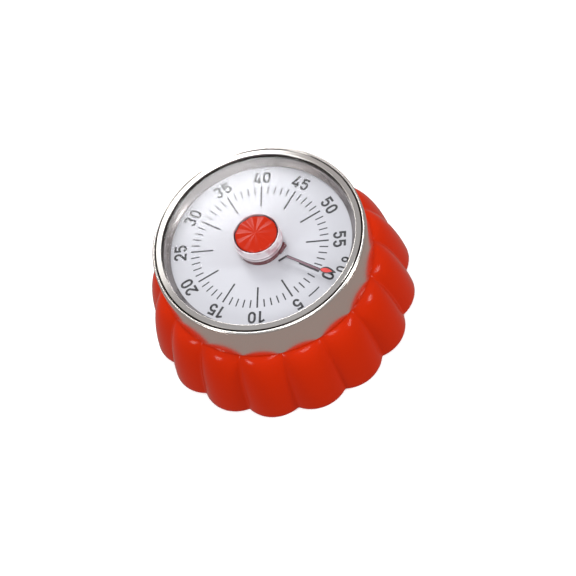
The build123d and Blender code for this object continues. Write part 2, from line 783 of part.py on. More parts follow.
second_arbor = train_arbor(SECOND_AT, SECOND_PINION_LEVEL, 1.4, FIRST_MODULE, GREAT_PHASE + 180 + HALF_PITCH)
second_arbor.part.label = "second_arbor"
export_step(second_arbor.part, "parts/second_arbor.step")

second_wheel = train_wheel(SECOND_AT, SECOND_WHEEL_LEVEL, SECOND_MODULE, SECOND_PHASE, 4)
second_wheel.part.label = "second_wheel"
export_step(second_wheel.part, "parts/second_wheel.step")

third_arbor = train_arbor(THIRD_AT, THIRD_PINION_LEVEL, 1.2, SECOND_MODULE, SECOND_PHASE + 180 + HALF_PITCH)
third_arbor.part.label = "third_arbor"
export_step(third_arbor.part, "parts/third_arbor.step")

third_wheel = train_wheel(THIRD_AT, THIRD_WHEEL_LEVEL, THIRD_MODULE, THIRD_PHASE, 4)
third_wheel.part.label = "third_wheel"
export_step(third_wheel.part, "parts/third_wheel.step")

escape_arbor = train_arbor(ESCAPE_AT, ESCAPE_PINION_LEVEL, 1.2, THIRD_MODULE, THIRD_PHASE + 180 + HALF_PITCH)
escape_arbor.part.label = "escape_arbor"
export_step(escape_arbor.part, "parts/escape_arbor.step")

def about_escape(reach, angle):
    """Point at a distance and an angle in degrees from the escape arbor."""
    along = polar(reach, angle)
    return (ESCAPE_AT[0] + along[0], ESCAPE_AT[1] + along[1])


with BuildPart() as escape_wheel:
    with BuildSketch(Plane.XY.offset(ESCAPE_LEVEL)):
        with BuildLine():
            for tooth in range(ESCAPE_TEETH):
                angle = 360 / ESCAPE_TEETH * tooth
                foot = about_escape(ESCAPE_RADIUS - ESCAPE_TOOTH, angle + ESCAPE_RAKE)
                Line(about_escape(ESCAPE_RADIUS, angle), foot)
                Line(foot, about_escape(ESCAPE_RADIUS, angle + 360 / ESCAPE_TEETH))
        make_face()
        with Locations(ESCAPE_AT):
            Circle(ARBOR, mode=Mode.SUBTRACT)
    extrude(amount=ESCAPE_THICKNESS)
escape_wheel.part.label = "escape_wheel"
export_step(escape_wheel.part, "parts/escape_wheel.step")

# ---- Escapement lever -------------------------------------------------------

TO_LEVER = bearing(PALLET_AT, ESCAPE_AT) + 180
PALLET_PINS_AT = [about_escape(PIN_REACH, TO_LEVER + angle) for angle in (-PIN_SPREAD, PIN_SPREAD)]

with BuildPart() as pallet_arbor:
    with BuildSketch(Plane.XY.offset(BACK_PLATE - 0.2)):
        with Locations(PALLET_AT):
            Circle(PIVOT)
    extrude(amount=FRONT_PLATE - BACK_PLATE + PLATE + 0.4)
    with BuildSketch(Plane.XY.offset(BACK_PLATE + PLATE + 0.2)):
        with Locations(PALLET_AT):
            Circle(ARBOR)
    extrude(amount=FRONT_PLATE - BACK_PLATE - PLATE - 0.4)
pallet_arbor.part.label = "pallet_arbor"
export_step(pallet_arbor.part, "parts/pallet_arbor.step")

with BuildPart() as pallet_lever:
    with BuildSketch(Plane.XY.offset(LEVER_LEVEL)):
        with Locations(PALLET_AT):
            Circle(1.5)
        for pin_at in PALLET_PINS_AT:
            with BuildLine():
                Line(PALLET_AT, pin_at)
            trace(line_width=1.1)
            with Locations(pin_at):
                Circle(0.6)
        with Locations(PALLET_AT):
            Circle(ARBOR, mode=Mode.SUBTRACT)
    extrude(amount=LEVER_THICKNESS)
    with BuildSketch(Plane.XY.offset(LEVER_LEVEL + LEVER_THICKNESS)):
        with Locations(PALLET_PINS_AT):
            Circle(0.35)
    extrude(amount=1.4)
pallet_lever.part.label = "pallet_lever"
export_step(pallet_lever.part, "parts/pallet_lever.step")

with BuildPart() as balance_bar:
    with BuildSketch(Plane.XY.offset(BALANCE_LEVEL)):
        with Locations(PALLET_AT):
            Circle(1.6)
            SlotOverall(8.4, 1.6, rotation=PALLET_ANGLE + 90)
            Circle(ARBOR, mode=Mode.SUBTRACT)
    extrude(amount=STEEL_THICKNESS)
balance_bar.part.label = "balance_bar"
export_step(balance_bar.part, "parts/balance_bar.step")

# ---- Hammer -----------------------------------------------------------------

STRIKE_AT = polar(17.6, 15)

with BuildPart() as hammer_stud:
    with BuildSketch(Plane.XY.offset(HAMMER_STUD_BOTTOM)):
        with Locations(HAMMER_AT):
            Circle(HAMMER_STUD)
    extrude(amount=BACK_PLATE + PLATE - HAMMER_STUD_BOTTOM)
hammer_stud.part.label = "hammer_stud"
export_step(hammer_stud.part, "parts/hammer_stud.step")

with BuildPart() as hammer_arm:
    with BuildSketch(Plane.XY.offset(HAMMER_LEVEL)):
        with Locations(HAMMER_AT):
            Circle(2.0)
        with BuildLine():
            Line(HAMMER_AT, STRIKE_AT)
        trace(line_width=1.6)
        with Locations(HAMMER_AT):
            Circle(HAMMER_STUD + 0.05, mode=Mode.SUBTRACT)
        with Locations(STRIKE_AT):
            Circle(2 * HEAD_PEG)
            Circle(HEAD_PEG, mode=Mode.SUBTRACT)
    extrude(amount=STEEL_THICKNESS)
hammer_arm.part.label = "hammer_arm"
export_step(hammer_arm.part, "parts/hammer_arm.step")

with BuildPart() as hammer_head:
    with BuildSketch(Plane.XY.offset(HEAD_BOTTOM)):
        with Locations(STRIKE_AT):
            Circle(HEAD_RADIUS)
    extrude(amount=HAMMER_LEVEL - HEAD_BOTTOM)
    with BuildSketch(Plane.XY.offset(HAMMER_LEVEL)):
        with Locations(STRIKE_AT):
            Circle(HEAD_PEG)
    extrude(amount=STEEL_THICKNESS + 0.2)
hammer_head.part.label = "hammer_head"
export_step(hammer_head.part, "parts/hammer_head.step")

SPRING_LINE = HAMMER_AT[0] - 1.5
SPRING_LENGTH = 7.0

with BuildPart() as hammer_spring:
    with BuildSketch(Plane.XY.offset(HAMMER_SPRING_LEVEL)):
        with Locations(HAMMER_AT):
            Circle(1.9)
            Circle(HAMMER_STUD + 0.2, mode=Mode.SUBTRACT)
        with BuildLine():
            Line((SPRING_LINE, HAMMER_AT[1]), (SPRING_LINE, HAMMER_AT[1] - SPRING_LENGTH))
        trace(line_width=0.5)
    extrude(amount=1.5)
hammer_spring.part.label = "hammer_spring"
export_step(hammer_spring.part, "parts/hammer_spring.step")

# ---- Dial and its carrier ---------------------------------------------------

with BuildPart() as dial_carrier:
    with BuildSketch(Plane.XY.offset(LEDGE_TOP)):
        Circle(CARRIER_RADIUS)
    extrude(amount=CARRIER_TOP - LEDGE_TOP)
    with BuildSketch(Plane.XY.offset(LEDGE_TOP)):
        Circle(CARRIER_RECESS)
    extrude(amount=CARRIER_BOTTOM - LEDGE_TOP, mode=Mode.SUBTRACT)
    with BuildSketch(Plane.XY.offset(FRONT_PLATE + PLATE)):
        with Locations(CARRIER_POSTS_AT):
            Circle(CARRIER_POST)
    extrude(amount=CARRIER_BOTTOM - FRONT_PLATE - PLATE)
    with BuildSketch(Plane.XY.offset(FRONT_PLATE + PLATE)):
        with Locations(CARRIER_POSTS_AT):
            Circle(MOVEMENT_SCREW)
    extrude(amount=MOVEMENT_SCREW_LENGTH, mode=Mode.SUBTRACT)
    with BuildSketch(Plane.XY.offset(LEDGE_TOP)):
        with Locations(CARRIER_SCREWS_AT):
            Circle(CARRIER_SCREW)
        Circle(DIAL_HOLE)
    extrude(amount=CARRIER_TOP - LEDGE_TOP, mode=Mode.SUBTRACT)
dial_carrier.part.label = "dial_carrier"
export_step(dial_carrier.part, "parts/dial_carrier.step")

with BuildPart() as carrier_screws:
    with BuildSketch(Plane.XY.offset(LEDGE_TOP - WALL - 0.8)):
        with Locations(CARRIER_SCREWS_AT):
            Circle(1.1)
    extrude(amount=0.8)
    with BuildSketch(Plane.XY.offset(LEDGE_TOP - WALL)):
        with Locations(CARRIER_SCREWS_AT):
            Circle(CARRIER_SCREW)
    extrude(amount=CARRIER_TOP - LEDGE_TOP + WALL - 0.2)
carrier_screws.part.label = "carrier_screws"
export_step(carrier_screws.part, "parts/carrier_screws.step")

with BuildPart() as movement_screws:
    with BuildSketch(Plane.XY.offset(FRONT_PLATE - 1.0)):
        with Locations(CARRIER_POSTS_AT):
            Circle(1.9)
    extrude(amount=1.0)
    with BuildSketch(Plane.XY.offset(FRONT_PLATE)):
        with Locations(CARRIER_POSTS_AT):
            Circle(MOVEMENT_SCREW)
    extrude(amount=MOVEMENT_SCREW_LENGTH)
movement_screws.part.label = "movement_screws"
export_step(movement_screws.part, "parts/movement_screws.step")

with BuildPart() as dial:
    with BuildSketch(Plane.XY.offset(CARRIER_TOP)):
        Circle(DIAL_RADIUS)
        Circle(DIAL_HOLE, mode=Mode.SUBTRACT)
    extrude(amount=DIAL_TOP - CARRIER_TOP)
dial.part.label = "dial"
export_step(dial.part, "parts/dial.step")
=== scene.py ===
"""Looks of a clockwork kitchen timer with a scalloped body and a turning steel ring."""

import logging
import math
from collections.abc import Callable, Mapping, Sequence
from dataclasses import dataclass, field
from enum import Enum
from typing import Any

import bmesh
import bpy
from mathutils import Matrix, Vector


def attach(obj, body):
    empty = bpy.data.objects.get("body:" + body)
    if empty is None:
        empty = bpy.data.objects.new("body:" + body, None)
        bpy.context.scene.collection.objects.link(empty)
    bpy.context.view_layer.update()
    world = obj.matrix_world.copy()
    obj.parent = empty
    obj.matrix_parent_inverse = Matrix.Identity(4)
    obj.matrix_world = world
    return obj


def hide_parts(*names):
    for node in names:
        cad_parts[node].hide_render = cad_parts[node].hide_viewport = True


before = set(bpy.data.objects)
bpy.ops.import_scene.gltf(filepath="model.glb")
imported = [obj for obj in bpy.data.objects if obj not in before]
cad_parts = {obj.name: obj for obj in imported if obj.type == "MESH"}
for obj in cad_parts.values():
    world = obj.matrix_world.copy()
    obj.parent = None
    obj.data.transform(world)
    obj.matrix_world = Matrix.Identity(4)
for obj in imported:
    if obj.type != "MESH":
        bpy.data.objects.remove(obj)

LOG = logging.getLogger("kitchen_timer")
MM = 0.001
FULL_TURN = 2 * math.pi
DRAWN_OUT = 0.04  # how much slower drawn marks change along their length
TURNED_AT = 0.0015  # radius in metres at which turned marks are read round the axis
SHARP_ANGLE = 35.0  # edges sharper than this many degrees stay sharp

Point = tuple[float, float]
Colour = tuple[float, float, float]


# ---- Node trees -------------------------------------------------------------


class Wires:
    """Adds nodes to one tree and joins them up."""

    def __init__(self, tree: bpy.types.NodeTree) -> None:
        """Keep the tree that the nodes go into.

        Args:
            tree: Shader or geometry node tree.
        """
        self.tree = tree

    def add(self, kind: str, inputs: Mapping[Any, Any] | None = None, **settings: Any) -> bpy.types.Node:
        """Add one node.

        Args:
            kind: Blender's type name of the node.
            inputs: Values or sockets, keyed by input name or number.
            **settings: Properties of the node itself.

        Returns:
            The new node.
        """
        made = self.tree.nodes.new(kind)
        for name, value in settings.items():
            setattr(made, name, value)
        for key, value in (inputs or {}).items():
            if isinstance(value, bpy.types.NodeSocket):
                self.tree.links.new(value, made.inputs[key])
            else:
                made.inputs[key].default_value = value
        return made

    def math(self, operation: str, *values: Any) -> bpy.types.NodeSocket:
        """Add a Math node.

        Args:
            operation: Name of the sum to do.
            *values: Numbers or sockets, in order.

        Returns:
            The result's socket.
        """
        return self.add("ShaderNodeMath", dict(enumerate(values)), operation=operation).outputs[0]

    def mix(self, share: Any, low: Any, high: Any) -> bpy.types.NodeSocket:
        """Blend two colours.

        Args:
            share: How much of the second colour, 0 to 1.
            low: First colour or socket.
            high: Second colour or socket.

        Returns:
            The blended colour's socket.
        """
        made = self.add("ShaderNodeMix", data_type="RGBA")
        for socket, value in ((made.inputs[0], share), (made.inputs[6], low), (made.inputs[7], high)):
            if isinstance(value, bpy.types.NodeSocket):
                self.tree.links.new(value, socket)
            else:
                socket.default_value = value
        return made.outputs[2]

    def spread(self, value: Any, low: float, high: float) -> bpy.types.NodeSocket:
        """Stretch a 0 to 1 value over another range.

        Args:
            value: Socket to stretch.
            low: Result at 0.
            high: Result at 1.

        Returns:
            The stretched value's socket.
        """
        made = self.add("ShaderNodeMapRange", {"Value": value, "To Min": low, "To Max": high})
        return made.outputs[0]


def opaque(colour: Colour, gain: float = 1.0) -> tuple[float, float, float, float]:
    """Colour with full alpha, made lighter or darker by a factor."""
    return (*[min(1.0, part * gain) for part in colour], 1.0)


# ---- Finishes ---------------------------------------------------------------


class Lay(Enum):
    """Which way the marks of a finish run."""

    NONE = "none"
    ROUND_AXIS = "round_axis"
    ALONG_X = "along_x"


@dataclass(frozen=True)
class Finish:
    """A surface finish with colour variation, uneven gloss and a fine relief.

    Attributes:
        name: Material name.
        colour: Base colour, linear.
        roughness: Mean roughness.
        metallic: 1 for bare metal.
        coat: Weight of a clear gloss coat.
        variation: How far the colour wanders, as a share.
        unevenness: How far the roughness wanders.
        clouding: Broad clouds per metre.
        grain: Marks per metre.
        relief: Height of the marks, in metres.
        lay: Which way the marks run.
        specular: Specular level of a plastic.
        streak: A second colour laid in soft streaks, if any; it paints a reflection.
    """

    name: str
    colour: Colour
    roughness: float
    metallic: float = 0.0
    coat: float = 0.0
    variation: float = 0.04
    unevenness: float = 0.04
    clouding: float = 90.0
    grain: float = 900.0
    relief: float = 0.00002
    lay: Lay = Lay.NONE
    specular: float = 0.5
    streak: Colour | None = None

    def marks_at(self, wires: Wires) -> bpy.types.NodeSocket:
        """Coordinates that the marks are read from.

        Args:
            wires: Tree to add to.

        Returns:
            Vector socket.
        """
        place = wires.add("ShaderNodeTexCoord").outputs["Object"]
        if self.lay is Lay.NONE:
            return place
        x, y, z = wires.add("ShaderNodeSeparateXYZ", {0: place}).outputs
        if self.lay is Lay.ALONG_X:
            slow = wires.math("MULTIPLY", x, DRAWN_OUT)
            return wires.add("ShaderNodeCombineXYZ", {0: slow, 1: y, 2: z}).outputs[0]
        square = wires.math("ADD", wires.math("MULTIPLY", x, x), wires.math("MULTIPLY", y, y))
        reach = wires.math("SQRT", square)
        safe = wires.math("MAXIMUM", reach, 0.0001)
        along_x = wires.math("MULTIPLY", wires.math("DIVIDE", x, safe), TURNED_AT)
        along_y = wires.math("MULTIPLY", wires.math("DIVIDE", y, safe), TURNED_AT)
        across = wires.math("ADD", reach, z)
        return wires.add("ShaderNodeCombineXYZ", {0: along_x, 1: along_y, 2: across}).outputs[0]

    def build(self) -> bpy.types.Material:
        """Make the Blender material.

        Returns:
            The material, ready to put in a slot.
        """
        made = bpy.data.materials.new(self.name)
        made.use_nodes = True
        wires = Wires(made.node_tree)
        shader = made.node_tree.nodes["Principled BSDF"]
        marks = wires.add(
            "ShaderNodeTexNoise",
            {"Vector": self.marks_at(wires), "Scale": self.grain, "Detail": 3.0, "Roughness": 0.6},
        )
        place = wires.add("ShaderNodeTexCoord").outputs["Object"]
        clouds = wires.add("ShaderNodeTexNoise", {"Vector": place, "Scale": self.clouding, "Detail": 2.0})
        tone = wires.math("MULTIPLY", wires.math("ADD", marks.outputs[0], clouds.outputs[0]), 0.5)
        dark = opaque(self.colour, 1 - self.variation)
        light = opaque(self.colour, 1 + self.variation)
        shade = wires.mix(tone, dark, light)
        # Soft streaks of a second colour: a painted reflection laid into the base colour.
        if self.streak:
            painted_reflection_range = {"Value": clouds.outputs[0], "From Min": 0.5, "From Max": 0.72}
            share = wires.add("ShaderNodeMapRange", painted_reflection_range)
            shade = wires.mix(share.outputs[0], shade, opaque(self.streak))
        made.node_tree.links.new(shade, shader.inputs["Base Color"])
        low = max(0.02, self.roughness - self.unevenness)
        gloss = wires.spread(tone, low, self.roughness + self.unevenness)
        made.node_tree.links.new(gloss, shader.inputs["Roughness"])
        raised = {"Height": marks.outputs[0], "Distance": self.relief, "Strength": 1.0}
        bump = wires.add("ShaderNodeBump", raised)
        made.node_tree.links.new(bump.outputs[0], shader.inputs["Normal"])
        shader.inputs["Metallic"].default_value = self.metallic
        shader.inputs["Specular IOR Level"].default_value = self.specular
        shader.inputs["Coat Weight"].default_value = self.coat
        shader.inputs["Coat Roughness"].default_value = 0.04
        return made


@dataclass(frozen=True)
class Window:
    """Thin clear acrylic: it reflects by angle and lets light straight through.

    Attributes:
        name: Material name.
        tint: Colour of what is seen through it.
        index: Refractive index.
        haze: Roughness of the reflection.
    """

    name: str
    tint: Colour
    index: float = 1.49
    haze: float = 0.03

    def build(self) -> bpy.types.Material:
        """Make the Blender material.

        Returns:
            The material, ready to put in a slot.
        """
        made = bpy.data.materials.new(self.name)
        made.use_nodes = True
        made.node_tree.nodes.clear()
        wires = Wires(made.node_tree)
        place = wires.add("ShaderNodeTexCoord").outputs["Object"]
        smears = wires.add("ShaderNodeTexNoise", {"Vector": place, "Scale": 60.0, "Detail": 2.0})
        rough = wires.spread(smears.outputs[0], self.haze * 0.85, self.haze * 1.15)
        sight = wires.add("ShaderNodeBsdfTransparent", {"Color": opaque(self.tint)})
        shine = wires.add("ShaderNodeBsdfGlossy", {"Roughness": rough})
        angle = wires.add("ShaderNodeFresnel", {"IOR": self.index})
        inside = wires.add("ShaderNodeNewGeometry").outputs["Backfacing"]
        share = wires.math("MULTIPLY", angle.outputs[0], wires.math("SUBTRACT", 1.0, inside))
        both = wires.add("ShaderNodeMixShader", {0: share, 1: sight.outputs[0], 2: shine.outputs[0]})
        wires.add("ShaderNodeOutputMaterial", {"Surface": both.outputs[0]})
        return made


class Finishes:
    """Every finish of the timer, built once."""

    def __init__(self) -> None:
        """Build the materials."""
        self.red = Finish(
            "gloss_red_abs", (0.58, 0.022, 0.001), 0.16, relief=0.000001, grain=500, specular=0.1
        ).build()
        self.cap_red = Finish(
            "gloss_red_cap", (0.49, 0.018, 0.001), 0.24, relief=0.000001, grain=500, specular=0.24
        ).build()
        # Dark red used as painted shade on the cap's recessed edge and as a painted red reflection on the
        # collar and tab at the tube's foot.
        self.deep_red = Finish("red_painted_shade_and_reflection", (0.13, 0.010, 0.014), 0.25, relief=0.000003).build()
        self.steel = Finish(
            "satin_stainless",
            (0.84, 0.765, 0.72),
            0.17,
            metallic=1.0,
            grain=3000,
            relief=0.0000006,
            variation=0.03,
            lay=Lay.ROUND_AXIS,
        ).build()
        self.bright = Finish(
            "polished_stainless", (0.66, 0.63, 0.595), 0.2, metallic=1.0, relief=0.0000003, unevenness=0.015
        ).build()
        # Near-black steel laid in the ring's narrow groove: painted shade in the recess.
        self.groove = Finish("groove_painted_shade", (0.07, 0.065, 0.06), 0.2, metallic=1.0, relief=0.000002).build()
        self.wall = Finish(
            "turned_inner_wall",
            (0.36, 0.33, 0.32),
            0.24,
            metallic=1.0,
            grain=3000,
            relief=0.0000003,
            unevenness=0.015,
            variation=0.03,
            lay=Lay.ROUND_AXIS,
        ).build()
        self.milky = Finish(
            "milky_acrylic",
            (0.74, 0.68, 0.715),
            0.18,
            relief=0.000002,
            # Pink-red streaks on the milky tube: painted reflection of the red cap and body.
            streak=(0.48, 0.22, 0.26),
            clouding=260,
        ).build()
        self.window = Window("clear_acrylic", (0.985, 0.988, 0.992), haze=0.12).build()
        self.card = Finish(
            "dial_print_white", (0.61, 0.61, 0.645), 0.42, relief=0.000002, variation=0.015, grain=2500
        ).build()
        self.ink = Finish("dial_ink", (0.018, 0.018, 0.022), 0.45, relief=0.000002, variation=0.2).build()
        self.white = Finish("white_abs", (0.82, 0.81, 0.82), 0.3, relief=0.000004, grain=1200).build()
        self.needle = Finish("mauve_needle", (0.20, 0.10, 0.13), 0.35, relief=0.000002).build()
        self.tip_red = Finish("tip_red", (0.70, 0.03, 0.02), 0.3, relief=0.000002).build()
        self.tip_black = Finish("tip_black", (0.012, 0.008, 0.010), 0.35, relief=0.000002).build()
        self.rubber = Finish("foot_rubber", (0.022, 0.022, 0.022), 0.75, relief=0.00003, grain=1500).build()
        self.zinc = Finish(
            "zinc_plated_steel", (0.56, 0.56, 0.55), 0.32, metallic=1.0, relief=0.00001, lay=Lay.ALONG_X
        ).build()
        self.spring = Finish(
            "blued_spring_steel", (0.16, 0.18, 0.24), 0.3, metallic=1.0, relief=0.000006
        ).build()
        self.brass = Finish("rolled_brass", (0.72, 0.50, 0.20), 0.28, metallic=1.0, relief=0.000008).build()
        self.nickel = Finish("bell_nickel", (0.66, 0.63, 0.58), 0.12, metallic=1.0, relief=0.000003).build()


# ---- Mesh making ------------------------------------------------------------


def arc(centre: Point, radius: float, start: float, end: float, steps: int = 8) -> list[Point]:
    """Points along an arc.

    Args:
        centre: Centre of the arc.
        radius: Its radius.
        start: First angle in degrees.
        end: Last angle in degrees.
        steps: Number of spans.

    Returns:
        The points, both ends included.
    """
    points = []
    for step in range(steps + 1):
        angle = math.radians(start + (end - start) * step / steps)
        points.append((centre[0] + radius * math.cos(angle), centre[1] + radius * math.sin(angle)))
    return points


def solid(
    name: str, corners: Sequence[Vector], faces: Sequence[Sequence[int]], smooth: float = SHARP_ANGLE
) -> bpy.types.Object:
    """Make an object from corners and faces, with outward normals.

    Args:
        name: Object name.
        corners: Vertex places in metres.
        faces: Vertex numbers of each face.
        smooth: Edges sharper than this many degrees stay sharp.

    Returns:
        The object, linked to the scene.
    """
    mesh = bpy.data.meshes.new(name)
    mesh.from_pydata([tuple(c) for c in corners], [], [tuple(f) for f in faces])
    return finished(name, mesh, smooth)


def finished(name: str, mesh: bpy.types.Mesh, smooth: float = SHARP_ANGLE) -> bpy.types.Object:
    """Clean a mesh, turn its faces outwards and put it in the scene.

    Args:
        name: Object name.
        mesh: The mesh.
        smooth: Edges sharper than this many degrees stay sharp.

    Returns:
        The object.
    """
    work = bmesh.new()
    work.from_mesh(mesh)
    bmesh.ops.remove_doubles(work, verts=work.verts, dist=1e-8)
    bmesh.ops.recalc_face_normals(work, faces=work.faces)
    work.to_mesh(mesh)
    work.free()
    mesh.shade_smooth()
    mesh.set_sharp_from_angle(angle=math.radians(smooth))
    made = bpy.data.objects.new(name, mesh)
    bpy.context.scene.collection.objects.link(made)
    return made


def lathe(
    name: str, loop: Sequence[Point], segments: int = 256, smooth: float = SHARP_ANGLE
) -> bpy.types.Object:
    """Turn a closed outline round the axis.

    Args:
        name: Object name.
        loop: Closed outline as (radius, height) in millimetres.
        segments: Steps round the axis.
        smooth: Edges sharper than this many degrees stay sharp.

    Returns:
        The turned object.
    """
    corners = []
    for step in range(segments):
        angle = FULL_TURN * step / segments
        for radius, height in loop:
            corners.append(Vector((radius * math.cos(angle), radius * math.sin(angle), height)) * MM)
    count = len(loop)
    faces = []
    for step in range(segments):
        here, there = step * count, (step + 1) % segments * count
        for i in range(count):
            j = (i + 1) % count
            faces.append((here + i, there + i, there + j, here + j))
    return solid(name, corners, faces, smooth)


def plate(name: str, outlines: Sequence[Sequence[Point]], low: float, high: float) -> bpy.types.Object:
    """Flat closed pieces, one for each outline.

    Args:
        name: Object name.
        outlines: Closed outlines in millimetres.
        low: Height of the underside in millimetres.
        high: Height of the top in millimetres.

    Returns:
        The object.
    """
    corners: list[Vector] = []
    faces: list[tuple[int, ...]] = []
    for outline in outlines:
        first, count = len(corners), len(outline)
        corners += [Vector((x, y, low)) * MM for x, y in outline]
        corners += [Vector((x, y, high)) * MM for x, y in outline]
        faces.append(tuple(first + i for i in reversed(range(count))))
        faces.append(tuple(first + count + i for i in range(count)))
        for i in range(count):
            j = (i + 1) % count
            faces.append((first + i, first + j, first + count + j, first + count + i))
    return solid(name, corners, faces)


def ribbon(line: Sequence[Point], width: float, closed: bool = False) -> list[list[Point]]:
    """Give a centre line a width, with mitred corners.

    Args:
        line: Points of the centre line.
        width: Full width.
        closed: True if the last point joins the first.

    Returns:
        One outline for each span.
    """
    count = len(line)
    sides = []
    for i, (x, y) in enumerate(line):
        before = line[i - 1] if closed or i else None
        after = line[(i + 1) % count] if closed or i < count - 1 else None
        runs = []
        if before is not None:
            runs.append(Vector((x - before[0], y - before[1])).normalized())
        if after is not None:
            runs.append(Vector((after[0] - x, after[1] - y)).normalized())
        run = (runs[0] + runs[-1]).normalized()
        stretch = 1 / max(0.4, run.dot(runs[0]))
        across = Vector((-run.y, run.x)) * width / 2 * stretch
        sides.append(((x + across.x, y + across.y), (x - across.x, y - across.y)))
    spans = count if closed else count - 1
    outlines = []
    for i in range(spans):
        left, right = sides[i], sides[(i + 1) % count]
        outlines.append([left[0], left[1], right[1], right[0]])
    return outlines


def dress(piece: bpy.types.Object, *materials: bpy.types.Material) -> bpy.types.Object:
    """Put materials in a piece's slots.

    Args:
        piece: The object.
        *materials: Its materials, in slot order.

    Returns:
        The same object.
    """
    piece.data.materials.clear()
    for material in materials:
        piece.data.materials.append(material)
    return piece


def choose_faces(piece: bpy.types.Object, number: int, wanted: Callable[[Vector, Vector], bool]) -> None:
    """Give some faces another material slot.

    Args:
        piece: The object.
        number: Slot number.
        wanted: Test of a face's middle and normal, in metres.
    """
    for face in piece.data.polygons:
        if wanted(face.center, face.normal):
            face.material_index = number


def shifted(piece: bpy.types.Object, by: Point) -> bpy.types.Object:
    """Move a piece's mesh sideways by an amount in millimetres."""
    piece.data.transform(Matrix.Translation(Vector((*by, 0.0)) * MM))
    return piece


def report(piece: bpy.types.Object) -> None:
    """Log one finished piece."""
    LOG.info("%s: %d faces", piece.name, len(piece.data.polygons))


def settle(piece: bpy.types.Object, body: str, slot: str, *nodes: str) -> bpy.types.Object:
    """Tie a finished piece to its body and hide the nodes it stands for.

    Args:
        piece: The finished object.
        body: CAD body that it moves with.
        slot: Material slot of the record; not used.
        *nodes: CAD nodes that it replaces.

    Returns:
        The same object.
    """
    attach(piece, body)
    if nodes:
        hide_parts(*nodes)
    report(piece)
    return piece


# ---- Geometry node trees ----------------------------------------------------


def geometry_tree(
    name: str, numbers: Mapping[str, float]
) -> tuple[bpy.types.NodeTree, Wires, bpy.types.Node]:
    """Start a geometry tree with named number inputs.

    Args:
        name: Tree name.
        numbers: Input names and their usual values.

    Returns:
        The tree, its wires and its group input node.
    """
    tree = bpy.data.node_groups.new(name, "GeometryNodeTree")
    tree.interface.new_socket("Geometry", in_out="INPUT", socket_type="NodeSocketGeometry")
    for label, value in numbers.items():
        socket = tree.interface.new_socket(label, in_out="INPUT", socket_type="NodeSocketFloat")
        socket.default_value = value
    material = tree.interface.new_socket("Material", in_out="INPUT", socket_type="NodeSocketMaterial")
    material.hide_value = True
    tree.interface.new_socket("Geometry", in_out="OUTPUT", socket_type="NodeSocketGeometry")
    wires = Wires(tree)
    return tree, wires, wires.add("NodeGroupInput")


def close_tree(wires: Wires, given: bpy.types.Node, shape: bpy.types.NodeSocket) -> None:
    """End a geometry tree with Realize Instances and Set Material.

    Args:
        wires: Tree to add to.
        given: Group input node.
        shape: Geometry so far.
    """
    whole = wires.add("GeometryNodeRealizeInstances", {"Geometry": shape})
    painted = wires.add(
        "GeometryNodeSetMaterial", {"Geometry": whole.outputs[0], "Material": given.outputs["Material"]}
    )
    wires.add("NodeGroupOutput", {"Geometry": painted.outputs[0]})


def grow(
    piece: bpy.types.Object,
    tree: bpy.types.NodeTree,
    material: bpy.types.Material,
    numbers: Mapping[str, float],
) -> bpy.types.Object:
    """Run a geometry tree on a piece and keep the result as a plain mesh.

    Args:
        piece: Object that the tree starts from.
        tree: Geometry tree.
        material: Material of the result.
        numbers: Values for the named inputs.

    Returns:
        A new object with the result.
    """
    modifier = piece.modifiers.new("shape", "NODES")
    modifier.node_group = tree
    for item in tree.interface.items_tree:
        if item.in_out == "INPUT" and item.name in numbers:
            modifier[item.identifier] = float(numbers[item.name])
        if item.in_out == "INPUT" and item.name == "Material":
            modifier[item.identifier] = material
    name = piece.name
    evaluated = piece.evaluated_get(bpy.context.evaluated_depsgraph_get())
    mesh = bpy.data.meshes.new_from_object(evaluated)
    old = piece.data
    bpy.data.objects.remove(piece)
    bpy.data.meshes.remove(old)
    made = finished(name, mesh)
    return dress(made, material)


